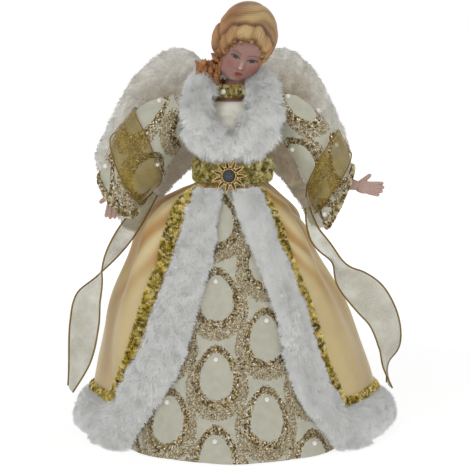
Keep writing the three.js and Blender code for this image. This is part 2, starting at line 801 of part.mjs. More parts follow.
const headPlace = new THREE.Matrix4().makeRotationFromEuler(headTilt).setPosition(...headMiddle);
const neckInHead = vec(0, 0.15 * headHalfHeight, -0.62 * headHalfHeight).applyMatrix4(headPlace);
const neckFoot = vec(0, -neckCurve, plateTop - neckSink);
const neckMiddle = neckFoot.clone().lerp(neckInHead, 0.5).add(vec(-neckCurve, 0, 0));
const neck = (grow) => rod([neckFoot, neckMiddle, neckInHead], neckRadius + grow, 14, 4);
const plate = loft([torsoTop + seatGap, ...plateLevels, plateTop].map((height) => torsoRing(height, 0)));
add("head_bust", join(plate, neck(0), headSkin(0, 24).applyMatrix4(headPlace)), finishes.skin);

// Hair: a rolled-back crown with a side roll and a bun, then ringlets that hang on the left
const size = headHalfHeight;
const headBall = (shares, columns, rows, grow = 0) => {
  const place = shares.slice(0, 3).map((share) => share * size);
  const halfSizes = shares.slice(3).map((share) => share * size + grow);
  return ball(place, ...halfSizes, columns, rows);
};
const hairBalls = (grow) => [
  headBall(hairShares[0], 18, 11, grow).rotateY(-hairRoll),
  ...hairShares.slice(1).map((shares) => headBall(shares, 10, 6, grow).rotateY(-hairRoll)),
];
const crownHair = join(...hairBalls(0));
const faceOpening = headBall(faceOpeningShares, 14, 9);
const belowHair = new THREE.BoxGeometry(4 * size, 4 * size, size).translate(0, 0, -1.26 * size);
const headHole = headSkin(2 * seatGap, 16).applyMatrix4(headPlace);
// Places across, back and up from the head's middle, in shares of its half height
const ringletShares = [
  [-0.88, 0.3, -0.3],
  [-1.14, 0.1, -0.48],
  [-0.83, -0.05, -0.6],
  [-1.34, 0.05, -0.7],
  [-1.04, -0.2, -0.83],
];
const ringletBalls = (grow) =>
  ringletShares.map(([x, y, z]) => {
    const [middleX, middleY, middleZ] = headMiddle;
    const radius = ringletRadius + grow;
    const place = [middleX + x * size, middleY + y * size, middleZ + z * size];
    return ball(place, radius, radius, radius * 1.25, 8, 5);
  });
const cap = cut(crownHair, faceOpening, belowHair).applyMatrix4(headPlace);
const hair = cut(join(cap, ...ringletBalls(0)), headHole, neck(seatGap));
add("moulded_hair", hair, finishes.hair);

// Braid round the foot of the neck, with a half pearl
const braidMiddle = vec(0, -neckCurve, plateTop + seatGap);
const neckBraidOut = neckRadius + neckBraidThick;
const neckBraidRing = (radiusAt) => (u, v) =>
  around(turn * u, radiusAt(v), v * neckBraidHeight).add(braidMiddle);
const neckBraidFace = neckBraidRing((v) => neckRadius + neckBraidThick * crownOf(v));
const neckBraid = roundWall(neckBraidFace, neckBraidRing(() => neckRadius / 2), 22, 2);
add("neck_braid", cut(neckBraid, neck(seatGap), headHole), finishes.braid);
const pearlPlace = around(pearlAngle, neckBraidOut + seatGap, neckBraidHeight / 2).add(braidMiddle);
const behindPearl = new THREE.BoxGeometry(3 * pearlRadius, 2 * pearlRadius, 3 * pearlRadius);
behindPearl.translate(0, pearlRadius, 0);
const pearl = cut(ball([0, 0, 0], pearlRadius, pearlRadius, pearlRadius, 10, 6), behindPearl);
pearl.rotateZ(pearlAngle).translate(...pearlPlace);
add("neck_pearl", pearl, finishes.pearl);

// Fur collar
const mirroredRow = ([x, y, z, width, dx, dy, dz]) => [-x, y, z, width, -dx, dy, dz];
const collarLoop = [...collarShares, ...collarShares.slice(1, -1).reverse().map(mirroredRow)];
function collarRing(share) {
  const placeOf = (row) => vec(row[0] * collarSpan, row[1] * collarSpan, collarFoot + row[2] * collarSpan);
  const row = rowAt(collarLoop, share, true);
  const ahead = placeOf(rowAt(collarLoop, (share + 0.004) % 1, true));
  const middle = placeOf(row);
  const inward = vec(row[4], row[5], row[6]).normalize();
  const out = ahead.sub(middle).normalize().cross(inward).normalize();
  const sides = 10;
  return Array.from({ length: sides }, (_, k) => {
    const angle = (turn * k) / sides;
    return middle
      .clone()
      .addScaledVector(inward, row[3] * collarSpan * Math.cos(angle))
      .addScaledVector(out, collarHalfThick * Math.sin(angle));
  });
}
const collar = loft(spaced(0, 1, 30).slice(1).map(collarRing), true);
const armholes = [-1, 1].map((side) => {
  const radius = shoulderRadius + armholeGap;
  return ball([side * shoulderHalfWidth, 0, shoulderUp], radius, radius, radius, 24, 16);
});
const besideHair = hairBalls(seatGap).map((geometry) => geometry.applyMatrix4(headPlace));
const collarSeats = [...armholes, ...ringletBalls(seatGap), ...besideHair, headHole];
add("fur_collar", cut(collar, ...collarSeats), finishes.fur);

// Arms
const sides = { left: -1, right: 1 };
const fromShoulder = (side, [out, forward, up]) =>
  vec(side * (shoulderHalfWidth + out * armReach), -forward * armReach, shoulderUp + up * armReach);
const direction = (side, [out, forward, up]) => vec(side * out, -forward, up).normalize();

// Point on a sleeve: u round it from the top through the front, v from the shoulder to the cuff.
const holeAngle = Math.asin(sleeveHole / shoulderRadius);
const ballRings = [holeAngle, 0.62 * (Math.PI / 2), 0.95 * (Math.PI / 2)];
const sleeveRows = 9;
function sleevePoint(name, u, v, out) {
  const side = sides[name];
  const [cosine, sine] = [Math.cos(turn * u), Math.sin(turn * u)];
  const place = v * sleeveRows;
  const onBall = (angle) => {
    const radius = shoulderRadius + out;
    const ring = radius * Math.sin(angle);
    const across = side * (shoulderHalfWidth - radius * Math.cos(angle));
    return vec(across, -ring * sine, shoulderUp + ring * cosine);
  };
  const onArm = (share) => {
    const [upOut, upUp, lowOut, lowUp, forward, halfDepth, dip] = rowAt(sleeveShares[name], share);
    const top = fromShoulder(side, [upOut, forward, upUp]);
    const low = fromShoulder(side, [lowOut, forward, lowUp]);
    const middle = top.clone().add(low).divideScalar(2);
    const half = top.clone().sub(middle);
    half.setLength(half.length() + out);
    const front = vec(0, -(halfDepth * armReach + out), -dip * armReach);
    return middle.addScaledVector(half, cosine).addScaledVector(front, sine);
  };
  const last = ballRings.length - 1;
  if (place <= last) {
    const row = Math.min(Math.floor(place), last - 1);
    return onBall(mix(ballRings[row], ballRings[row + 1], place - row));
  }
  if (place < last + 1) return onBall(ballRings[last]).lerp(onArm(0), place - last);
  return onArm((place - last - 1) / (sleeveRows - last - 1));
}

// Hand: palm, four fingers and a thumb on a forearm stub
function finger(from, way, length, fromRadius, toRadius, ringSides = 5) {
  const stations = [
    [-fromRadius, 0.6 * fromRadius],
    [0, fromRadius],
    [0.55 * length, mix(fromRadius, toRadius, 0.4)],
    [length, toRadius],
    [length + 0.7 * toRadius, 0.5 * toRadius],
  ];
  const spin = new THREE.Quaternion().setFromUnitVectors(vec(0, 0, 1), way.clone().normalize());
  return loft(
    stations.map(([height, radius]) =>
      Array.from({ length: ringSides }, (_, k) =>
        around((turn * k) / ringSides, radius, height).applyQuaternion(spin).add(from),
      ),
    ),
  );
}
function arm(name) {
  const side = sides[name];
  const { wrist, fingers, palm } = handShares[name];
  const wristPlace = fromShoulder(side, wrist);
  const ahead = direction(side, fingers);
  const facing = direction(side, palm);
  const thumbWay = ahead.clone().cross(facing).multiplyScalar(-side).normalize();
  facing.copy(ahead.clone().cross(thumbWay)).multiplyScalar(side).normalize();
  const onHand = (forth, across) =>
    wristPlace.clone().addScaledVector(ahead, forth).addScaledVector(thumbWay, across);

  // The wire runs along the sleeve's middle and into the forearm.
  const middleOf = (share) => {
    const top = sleevePoint(name, 0, share, 0);
    return top.add(sleevePoint(name, 0.5, share, 0)).divideScalar(2);
  };
  const shoulder = vec(side * shoulderHalfWidth, 0, shoulderUp);
  const wireEnd = -wireEndShare * forearmLength;
  const wireWay = [shoulder, middleOf(0.5), middleOf(0.72), onHand(-wireStraightShare * forearmLength, 0)];
  const wirePath = (end, radius) => rod([...wireWay, onHand(end, 0)], radius, 6, 9);
  const ballEnd = ball(shoulder.toArray(), yokeBallRadius, yokeBallRadius, yokeBallRadius, 8, 5);
  add(`arm_wire_${name}`, join(wirePath(wireEnd, wireRadius), ballEnd), finishes.wire);

  const palmGeometry = new THREE.SphereGeometry(1, 8, 6);
  const basis = new THREE.Matrix4().makeBasis(
    thumbWay.clone().multiplyScalar(palmWidth / 2),
    ahead.clone().multiplyScalar(0.62 * palmLength),
    facing.clone().multiplyScalar(palmThick / 2),
  );
  palmGeometry.applyMatrix4(basis);
  palmGeometry.translate(...onHand(palmLength / 2, 0));
  const palmSolid = basis.determinant() < 0 ? closedFrom(palmGeometry) : palmGeometry;
  const digits = fingerShares.map(([across, length, splay]) =>
    finger(
      onHand(0.86 * palmLength, across * palmWidth),
      ahead.clone().addScaledVector(thumbWay, splay).addScaledVector(facing, 0.18),
      length * fingerLength,
      fingerRadius,
      0.75 * fingerRadius,
    ),
  );
  const thumb = finger(
    onHand(0.3 * palmLength, 0.36 * palmWidth),
    ahead.clone().multiplyScalar(0.75).add(thumbWay),
    0.75 * fingerLength,
    1.15 * fingerRadius,
    0.85 * fingerRadius,
  );
  const [elbowEnd, wristEnd] = [1.1 * wristRadius, 0.75 * wristRadius];
  const forearm = finger(onHand(-forearmLength, 0), ahead, forearmLength, elbowEnd, wristEnd, 8);
  const bore = wirePath(wireEnd + seatGap, wireRadius + seatGap);
  add(`hand_${name}`, cut(join(forearm, palmSolid, ...digits, thumb), bore), finishes.skin);

  const wall = (out) => (u, v) => sleevePoint(name, u, v, out);
  add(`sleeve_${name}`, roundWall(wall(0), wall(-clothThick), 16, sleeveRows), finishes.patterned);
  const cuffShare = cuffBraidWidth / sleeveLength;
  const cuff = (out) => (u, v) => sleevePoint(name, u, 1 - cuffShare * (1 - v), out);
  add(`cuff_braid_${name}`, roundWall(cuff(seatGap + braidThick), cuff(seatGap), 16, 1), finishes.braid);
}
function closedFrom(geometry) {
  const place = geometry.attributes.position;
  const points = Array.from({ length: place.count }, (_, k) => vec(0, 0, 0).fromBufferAttribute(place, k));
  return closedGeometry(points, Array.from(geometry.index.array));
}
Object.keys(sides).forEach(arm);

// Wings: each is a plush pad on a wire whose pin turns in a socket on the back plate
const wireTop = socketFoot + socketHeight;
const onWingAxis = (geometry, side, z) => geometry.translate(side * wingAxisHalfWidth, wingAxisDepth, z);
const socketAt = (side) => onWingAxis(upright(socketRadius, socketHeight, 16), side, socketFoot);
const boreHeight = socketHeight + 2 * cutOverrun;
const socketBore = (side) =>
  onWingAxis(upright(wingWireRadius + seatGap, boreHeight, 12), side, socketFoot - cutOverrun);
const backWall = (out) => (u, v) => {
  const angle = Math.PI + mix(-backPlateHalfAngle, backPlateHalfAngle, u);
  return torsoPoint(angle, socketFoot + v * socketHeight, out);
};
const backPlateIn = bodiceOut + 2 * seatGap;
const backPlate = slab(backWall(backPlateIn + backPlateThick), backWall(backPlateIn), 6, 2);
const wingMount = cut(join(backPlate, socketAt(-1), socketAt(1)), socketBore(-1), socketBore(1));
add("wing_mount", wingMount, finishes.socket);

for (const [name, side] of Object.entries(sides)) {
  const hinge = new THREE.Group();
  hinge.position.set(side * wingAxisHalfWidth, wingAxisDepth, 0);
  hinge.rotation.z = side * wingFold[name];
  angel.add(hinge);
  // The outline is drawn in towards its middle in shares, with the pad's half thickness there.
  const insets = [
    [0, wingEdgeThick / 2],
    [0.1, 0.32 * wingThick],
    [0.3, 0.44 * wingThick],
    [0.7, wingThick / 2],
  ];
  const meanShare = (column) => wingShares.reduce((sum, row) => sum + row[column], 0) / wingShares.length;
  const ring = (inset, half) =>
    wingShares.map(([x, z]) => {
      const [shareX, shareZ] = [mix(x, meanShare(0), inset), mix(z, meanShare(1), inset)];
      const back = wingSet + wingSweep * shareX ** 2 + half;
      return vec(side * shareX * wingSpan, back, wingFoot + shareZ * wingHeight);
    });
  const rows = [
    ...insets.slice().reverse().map(([inset, half]) => ring(inset, -half)),
    ...insets.map(([inset, half]) => ring(inset, half)),
  ];
  const wirePoints = [
    vec(0, 0, socketFoot),
    vec(0, 0, wireTop - wingWireRadius),
    vec(0, 0, wireTop + 2 * wingWireRadius),
    vec(0.03 * side * wingSpan, 0.5 * wingSet, wireTop + 5 * wingWireRadius),
    vec(0.12 * side * wingSpan, wingSet, wireTop + 9 * wingWireRadius),
    vec(0.3 * side * wingSpan, wingSet + 0.09 * wingSweep, wireTop + 12 * wingWireRadius),
  ];
  const wirePath = (grow) => rod(wirePoints, wingWireRadius + grow, 6, 12);
  add(`wing_${name}`, cut(loft(rows), wirePath(seatGap)), finishes.fur, hinge);
  add(`wing_wire_${name}`, wirePath(0), finishes.wire, hinge);
}

// Ribbons: the wrap lies on the sleeve, the tail hangs from below the forearm
for (const [name, side] of Object.entries(sides)) {
  const wrapHalf = ribbonWidth / (2 * sleeveLength);
  const wrap = (out) => (u, v) => {
    const [round, length, widthShare] = rowAt(wrapShares[name], v);
    return sleevePoint(name, (round + 1) % 1, length + (2 * u - 1) * wrapHalf * widthShare, out);
  };
  const wrapGeometry = slab(wrap(ribbonLift + ribbonThick), wrap(ribbonLift), 4, 12);
  add(`ribbon_wrap_${name}`, wrapGeometry, finishes.ribbon);
  // The tail starts just under the wrap's lower end.
  const underWrap = wrap(ribbonLift + 2 * ribbonThick + 4 * seatGap)(0.5, 1);
  const fromBall = underWrap.sub(vec(side * shoulderHalfWidth, 0, shoulderUp));
  const start = [fromBall.x * side, -fromBall.y, fromBall.z].map((length) => length / ribbonDrop);
  const tailRows = [[...start, ...tailShares[name][0].slice(3)], ...tailShares[name].slice(1)];
  const tailPlace = (share) => {
    const [out, forward, up] = rowAt(tailRows, share);
    const across = side * (shoulderHalfWidth + out * ribbonDrop);
    return vec(across, -forward * ribbonDrop, shoulderUp + up * ribbonDrop);
  };
  const tail = (lift) => (u, v) => {
    const [, , , halfWidth, twist] = rowAt(tailRows, v);
    const place = tailPlace(v);
    const way = tailPlace(Math.min(v + 0.01, 1)).sub(tailPlace(Math.max(v - 0.01, 0))).normalize();
    const across = way.clone().cross(vec(0, 1, 0)).normalize();
    const off = across.clone().cross(way);
    const [cosine, sine] = [Math.cos(twist * degree), Math.sin(twist * degree)];
    const width = across.clone().multiplyScalar(cosine).addScaledVector(off, sine);
    const normal = off.multiplyScalar(cosine).addScaledVector(across, -sine);
    return place.addScaledVector(width, (2 * u - 1) * halfWidth * ribbonDrop).addScaledVector(normal, lift);
  };
  add(`ribbon_tail_${name}`, slab(tail(ribbonThick / 2), tail(-ribbonThick / 2), 2, 24), finishes.ribbon);
}

export default angel;
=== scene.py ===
import math
from math import pi

import bpy
import numpy as np
from mathutils import Matrix, Vector
from numpy import clip, cos, cross, exp, hypot, linspace, sin, sqrt


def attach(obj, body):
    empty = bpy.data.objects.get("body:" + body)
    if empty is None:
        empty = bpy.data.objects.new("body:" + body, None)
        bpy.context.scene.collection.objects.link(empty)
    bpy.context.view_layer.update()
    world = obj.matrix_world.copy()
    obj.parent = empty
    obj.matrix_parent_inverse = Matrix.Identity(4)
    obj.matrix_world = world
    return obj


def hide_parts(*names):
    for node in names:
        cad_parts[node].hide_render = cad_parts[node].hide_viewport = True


# The looks of the angel tree topper. Shapes are worked out in millimetres from the skirt's axis, as
# the CAD works them out, and build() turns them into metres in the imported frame.
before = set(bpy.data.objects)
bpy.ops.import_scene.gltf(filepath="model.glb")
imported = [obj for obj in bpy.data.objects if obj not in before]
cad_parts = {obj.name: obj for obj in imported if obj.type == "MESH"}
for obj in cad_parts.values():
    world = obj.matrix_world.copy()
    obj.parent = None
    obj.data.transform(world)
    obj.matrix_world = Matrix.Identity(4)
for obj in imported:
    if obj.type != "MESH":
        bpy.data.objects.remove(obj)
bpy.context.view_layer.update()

MM = 0.001
TURN = 2 * pi
DEGREE = pi / 180
AXIS_FORWARD = 11.0
SIDES = {"left": -1, "right": 1}


# Tables and vectors
def unit(vectors):
    length = np.linalg.norm(vectors, axis=-1, keepdims=True)
    return vectors / np.maximum(length, 1e-9)


def mix(start, end, share):
    return start + (end - start) * share


def smooth(share):
    share = clip(share, 0, 1)
    return share * share * (3 - 2 * share)


def along(table, place, column=1):
    """Smooth value of a table of (place, value, ...) rows."""
    table = np.asarray(table, float)
    last = len(table) - 1
    place = clip(place, table[0, 0], table[-1, 0])
    row = clip(np.searchsorted(table[:, 0], place, side="right") - 1, 0, last - 1)
    share = (place - table[row, 0]) / (table[row + 1, 0] - table[row, 0])
    start, end = table[row, column], table[row + 1, column]
    start_slope = (end - table[np.maximum(row - 1, 0), column]) / 2
    end_slope = (table[np.minimum(row + 2, last), column] - start) / 2
    square, cube = share**2, share**3
    return (
        (2 * cube - 3 * square + 1) * start
        + (cube - 2 * square + share) * start_slope
        + (3 * square - 2 * cube) * end
        + (cube - square) * end_slope
    )


def row_at(table, share, looped=False):
    """Rows at shares of the way through a table, smooth through every row."""
    table = np.asarray(table, float)
    count = len(table)
    spans = count if looped else count - 1
    place = np.asarray(share, float) * spans
    row = clip(np.floor(place), 0, spans - 1).astype(int)
    t = (place - row)[..., None]

    def pick(k):
        return table[k % count] if looped else table[clip(k, 0, count - 1)]

    before, start, end, after = (pick(row + k) for k in (-1, 0, 1, 2))
    bend = 2 * before - 5 * start + 4 * end - after
    twist = 3 * (start - end) + after - before
    return start + t * (end - before + t * (bend + t * twist)) / 2


def around(angle, radius, z):
    """Angles go round from the front, towards +X."""
    angle, radius, z = np.broadcast_arrays(angle, radius, z)
    return np.stack([radius * sin(angle), -radius * cos(angle), z], -1)


def wander(points, size, seed, values=1):
    """Smooth seeded noise of points, about -1 to 1."""
    own = np.random.default_rng(seed)
    terms = 7
    total = 0
    for _ in range(terms):
        way = own.normal(size=(3, values)) / size
        total = total + sin(points @ way + own.random(values) * TURN)
    total = total / math.sqrt(terms)
    return total[..., 0] if values == 1 else total


def turning(axis, angle):
    return np.array(Matrix.Rotation(angle, 3, axis))


# Meshes
def quads(rows, columns, looped=False):
    """Faces of a grid of points, with that many faces along and across."""
    width = columns if looped else columns + 1
    row = np.arange(rows)[:, None]
    column = np.arange(columns)[None, :]
    beside = (column + 1) % width
    corners = [row * width + column, row * width + beside]
    corners += [(row + 1) * width + beside, (row + 1) * width + column]
    return np.stack(corners, -1).reshape(-1, 4)


def spread(columns, rows, looped=False):
    """The u and v of a grid's points."""
    u = linspace(0, 1, columns + 1)[: columns if looped else columns + 1]
    return np.meshgrid(u, linspace(0, 1, rows + 1))


def grid(surface, columns, rows, looped=False):
    """Points of surface(u, v), with their faces."""
    return surface(*spread(columns, rows, looped)).reshape(-1, 3), quads(rows, columns, looped)


def face_normals(points, faces):
    corners = points[faces]
    last = corners.shape[1] - 1
    return cross(corners[:, 2] - corners[:, 0], corners[:, last] - corners[:, 1])


def point_normals(points, faces):
    normals = np.zeros_like(points)
    flat = face_normals(points, faces)
    for corner in range(faces.shape[1]):
        np.add.at(normals, faces[:, corner], flat)
    return unit(normals)


def shut(points, faces):
    """A closed shape, with its faces turned to look out."""
    first, second, third, fourth = np.moveaxis(points[faces], 1, 0)
    volume = (cross(first, second) * third).sum() + (cross(first, third) * fourth).sum()
    return points, faces[:, ::-1] if volume < 0 else faces


def outward(points, faces, middle=None):
    """An open shape, with its faces turned to look away from the axis, or from a middle point."""
    centre = points[faces].mean(1)
    away = centre * (1, 1, 0) if middle is None else centre - middle
    wrong = (face_normals(points, faces) * away).sum() < 0
    return points, faces[:, ::-1] if wrong else faces


class Shape:
    """Points, faces and tones of one piece, gathered part by part."""

    def __init__(self):
        self.points, self.tones, self.normals = [], [], []
        self.faces = {3: [], 4: []}
        self.count = 0

    def add(self, points, face_sets, tone=(1, 1, 1), normals=None):
        points = np.asarray(points, float).reshape(-1, 3)
        self.points.append(points)
        self.tones.append(np.broadcast_to(np.asarray(tone, float), points.shape))
        self.normals.append(np.full_like(points, np.nan) if normals is None else normals)
        for faces in face_sets if isinstance(face_sets, (list, tuple)) else [face_sets]:
            self.faces[faces.shape[1]].append(np.asarray(faces) + self.count)
        self.count += len(points)
        return self


def new_object(name, data):
    made = bpy.data.objects.new(name, data)
    bpy.context.scene.collection.objects.link(made)
    return made


def modify(piece, name, kind, **settings):
    modifier = piece.modifiers.new(name, kind)
    for key, value in settings.items():
        setattr(modifier, key, value)


def build(name, shape, body, material, replaces=(), wall=0.0):
    """One visual piece that rides on a body."""
    mesh = bpy.data.meshes.new(name)
    places = np.concatenate(shape.points) * MM
    places[:, 1] -= AXIS_FORWARD * MM
    mesh.vertices.add(len(places))
    mesh.vertices.foreach_set("co", places.ravel())
    sets = [np.concatenate(faces) for faces in shape.faces.values() if faces]
    sizes = np.concatenate([np.full(len(faces), faces.shape[1]) for faces in sets])
    corners = np.concatenate([faces.ravel() for faces in sets])
    mesh.loops.add(len(corners))
    mesh.loops.foreach_set("vertex_index", corners.astype(np.int32))
    mesh.polygons.add(len(sizes))
    mesh.polygons.foreach_set("loop_start", (np.cumsum(sizes) - sizes).astype(np.int32))
    mesh.update(calc_edges=True)
    mesh.polygons.foreach_set("use_smooth", np.full(len(sizes), True))
    tones = np.concatenate(shape.tones)
    tones = np.column_stack([tones, np.ones(len(tones))])
    mesh.color_attributes.new("tone", "FLOAT_COLOR", "POINT").data.foreach_set("color", tones.ravel())
    normals = np.concatenate(shape.normals)
    if not np.isnan(normals).any():
        mesh.normals_split_custom_set_from_vertices(normals)
    mesh.materials.append(material)
    piece = new_object(name, mesh)
    if wall:
        modify(piece, "wall", "SOLIDIFY", thickness=wall * MM, offset=-1)
    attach(piece, body)
    if replaces:
        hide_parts(*replaces)
    return piece


def tube(path, radius, sides=6):
    """Round tube through the points of a path, open at its ends."""
    path = np.asarray(path, float)
    way = unit(np.gradient(path, axis=0))
    up = np.array([0.13, 0.31, 1.0])
    first = unit(cross(way, up))
    second = cross(way, first)
    angle = linspace(0, TURN, sides + 1)[:-1]
    radius = np.broadcast_to(radius, len(path))[:, None, None]
    ring = first[:, None] * cos(angle)[None, :, None] + second[:, None] * sin(angle)[None, :, None]
    points = path[:, None] + radius * ring
    return points.reshape(-1, 3), quads(len(path) - 1, sides, looped=True)


def ball(middle, radius, columns=12, rows=8):
    def surface(u, v):
        angle, tilt = TURN * u, pi * v
        return np.asarray(middle) + radius * np.stack(
            [sin(tilt) * cos(angle), sin(tilt) * sin(angle), -cos(tilt)], -1
        )

    return grid(surface, columns, rows, looped=True)


# Strands lean and grow alike in patches of these sizes, and are rooted a little under the surface
LEAN_PATCH = 9.0
TUFT_PATCH = 2.4
GROWTH_PATCH = 6.0
ROOT_DEPTH = 0.3
STRAND_MIDDLE_SHARE = 0.55


def strands(points, faces, count, length, width, lay, lean, stray, seed, droop=0.3, clump=0.0):
    """Tapered blades scattered over a surface, three triangles each, with soft normals."""
    own = np.random.default_rng(seed)
    area = np.linalg.norm(face_normals(points, faces), axis=-1)
    pick = own.choice(len(faces), count, p=area / area.sum())
    s, t = own.random((2, count, 1))
    corners = points[faces[pick]]
    root = mix(mix(corners[:, 0], corners[:, 1], s), mix(corners[:, 3], corners[:, 2], s), t)
    normal = unit(face_normals(points, faces))[pick]
    lay = np.broadcast_to(lay(root) if callable(lay) else np.asarray(lay, float), root.shape)
    level = unit(lay - (lay * normal).sum(-1, keepdims=True) * normal)
    drift = clump * (0.3 * wander(root, LEAN_PATCH, seed + 1, 3) + wander(root, TUFT_PATCH, seed + 2, 3))
    way = unit(normal * (1 - lean) + level * lean + own.normal(size=root.shape) * stray + drift)
    growth = 1 + 0.12 * wander(root, GROWTH_PATCH, seed + 3)[:, None]
    size = length * (0.75 + 0.4 * own.random((count, 1))) * growth
    beside = unit(cross(way, own.normal(size=root.shape))) * width / 2
    middle = root + way * size * STRAND_MIDDLE_SHARE
    tip = middle + unit(way + level * droop) * size * (1 - STRAND_MIDDLE_SHARE)
    foot = root - normal * ROOT_DEPTH
    made = np.stack([foot - beside, foot + beside, middle + beside * 0.8, middle - beside * 0.8, tip], 1)
    first = 5 * np.arange(count)[:, None]
    soft = unit(normal + way * 0.35 + own.normal(size=root.shape) * 0.12)
    face_sets = [first + np.array([0, 1, 2, 3]), first + np.array([3, 2, 4])]
    return made.reshape(-1, 3), face_sets, np.repeat(soft, 5, 0), np.repeat(root, 5, 0)


def half_size(count):
    return count


# Materials
def colour(red, green, blue):
    """A colour as written in a picture, in the renderer's linear values."""
    share = np.array([red, green, blue]) / 255
    return np.where(share <= 0.04045, share / 12.92, ((share + 0.055) / 1.055) ** 2.4)


def feed(tree, node, inputs):
    """Each input is a value or the socket that it comes from."""
    for key, value in inputs.items():
        if isinstance(value, bpy.types.NodeSocket):
            tree.links.new(value, node.inputs[key])
        else:
            node.inputs[key].default_value = value


def put(tree, kind, inputs=None, **settings):
    node = tree.nodes.new("ShaderNode" + kind)
    for key, value in settings.items():
        setattr(node, key, value)
    feed(tree, node, inputs or {})
    return node


def calc(tree, operation, *values):
    return put(tree, "Math", dict(enumerate(values)), operation=operation).outputs[0]


def calc_vector(tree, operation, *values):
    return put(tree, "VectorMath", dict(enumerate(values)), operation=operation).outputs[0]


def scaled(tree, vector, amount):
    return put(tree, "VectorMath", {0: vector, "Scale": amount}, operation="SCALE").outputs[0]


def blend_colours(tree, factor, start, end, way="MIX"):
    return put(tree, "Mix", {0: factor, 6: start, 7: end}, data_type="RGBA", blend_type=way).outputs[2]


def own_tone(tree):
    return put(tree, "Attribute", attribute_name="tone").outputs["Color"]


def by_tone(tree, base):
    """A colour times the piece's own tone."""
    return blend_colours(tree, 1.0, base, own_tone(tree), "MULTIPLY")


def ramp(tree, value, *stops):
    node = put(tree, "ValToRGB", {0: value})
    elements = node.color_ramp.elements
    while len(elements) < len(stops):
        elements.new(0.5)
    for element, (place, tone) in zip(elements, stops):
        element.position = place
        element.color = (*tone, 1.0)
    return node.outputs[0]


def noise(tree, size, detail=3.0):
    """Noise with features of about that size in millimetres, on the object's own coordinates."""
    places = put(tree, "TexCoord").outputs["Object"]
    inputs = {"Vector": places, "Scale": 1 / (size * MM), "Detail": detail}
    return put(tree, "TexNoise", inputs).outputs["Fac"]


def new_material(name):
    material = bpy.data.materials.new(name)
    material.use_nodes = True
    return material, material.node_tree, material.node_tree.nodes["Principled BSDF"]


GRAIN_HEIGHT = 0.3
PLUSH_PATCH = 7.0
WEAVE_PATCH = 5.0
WEAVE_HEIGHT = 0.4
THREAD_SIZE = 0.8
SHIMMER_PATCH = 14.0


def plain(
    name, tone, roughness, metallic=0.0, grain=2.0, depth=0.1, vary=0.12, sheen=0.0, toned=False, glow=0.0
):
    """A finish with a grain: its colour varies and its surface has a fine relief."""
    material, tree, shader = new_material(name)
    grainy = noise(tree, grain)
    base = ramp(tree, grainy, (0.3, tone * (1 - vary)), (0.7, tone))
    if toned:
        base = by_tone(tree, base)
    bump = put(tree, "Bump", {"Strength": depth * 4, "Distance": GRAIN_HEIGHT * MM, "Height": grainy})
    feed(tree, shader, {"Base Color": base, "Normal": bump.outputs[0], "Roughness": roughness})
    feed(tree, shader, {"Metallic": metallic, "Sheen Weight": sheen})
    # A glow is painted light: the finish gives off a little light in its own colour.
    if glow:
        feed(tree, shader, {"Emission Color": base, "Emission Strength": glow})
    return material


def in_own_tones(name, roughness, **settings):
    """A plain finish in the piece's own tones."""
    return plain(name, np.ones(3), roughness, toned=True, **settings)


def fur_finish(name):
    """Plush whose blades are shaded as the pile that they stand in, from both of their faces."""
    material, tree, shader = new_material(name)
    geometry = put(tree, "NewGeometry")
    normal = geometry.outputs["Normal"]
    sides = {0: geometry.outputs["Backfacing"], 4: normal, 5: scaled(tree, normal, -1.0)}
    facing = put(tree, "Mix", sides, data_type="VECTOR")
    patchy = ramp(tree, noise(tree, PLUSH_PATCH), (0.25, (0.95, 0.95, 0.94)), (0.75, (1, 1, 1)))
    base = by_tone(tree, patchy)
    # The plush glows a little in its own tones: painted light that lifts the shade deep in the pile.
    feed(tree, shader, {"Base Color": base, "Emission Color": base, "Emission Strength": 0.1})
    feed(tree, shader, {"Normal": facing.outputs[1], "Roughness": 0.95, "Specular IOR Level": 0.1})
    return material


# Kinds of glitter: the tone's channel, the flakes' size in millimetres and tilt, and their colours
GLITTER_KINDS = [
    (1, 0.62, 0.8, [
        (0.0, (92, 78, 50)), (0.45, (146, 130, 96)), (0.8, (186, 172, 138)), (0.97, (240, 232, 208)),
    ]),
    (0, 1.0, 1.5, [
        (0.0, (40, 30, 14)), (0.3, (100, 80, 44)), (0.6, (156, 136, 92)), (0.84, (212, 198, 156)),
        (0.95, (255, 253, 244)),
    ]),
]


def glitter_cloth(name, ground):
    """Satin with glued glitter: the tone's red is the coarse kind's share, its green the fine kind's."""
    material, tree, shader = new_material(name)
    places = put(tree, "TexCoord").outputs["Object"]
    shares = put(tree, "SeparateColor", {0: own_tone(tree)}).outputs
    weave = noise(tree, WEAVE_PATCH, 4.0)
    base = ramp(tree, weave, (0.3, ground * 0.86), (0.7, ground))
    level = put(tree, "Bump", {"Strength": 0.3, "Distance": WEAVE_HEIGHT * MM, "Height": weave}).outputs[0]
    for channel, size, tilt, stops in GLITTER_KINDS:
        cells = put(tree, "TexVoronoi", {"Vector": places, "Scale": 1 / (size * MM)}).outputs["Color"]
        parts = put(tree, "SeparateColor", {0: cells}).outputs
        flake = calc(tree, "LESS_THAN", parts[0], shares[channel])
        flakes = ramp(tree, parts[1], *[(place, colour(*tone)) for place, tone in stops])
        base = blend_colours(tree, flake, base, flakes)
        away = calc_vector(tree, "SUBTRACT", cells, (0.5, 0.5, 0.5))
        level = calc_vector(tree, "ADD", level, scaled(tree, away, calc(tree, "MULTIPLY", flake, tilt)))
    feed(tree, shader, {"Base Color": base, "Normal": calc_vector(tree, "NORMALIZE", level)})
    feed(tree, shader, {
        "Metallic": calc(tree, "MULTIPLY", flake, 0.75),
        "Roughness": calc(tree, "MULTIPLY_ADD", flake, -0.18, 0.48),
        "Sheen Weight": 0.15,
    })
    return material


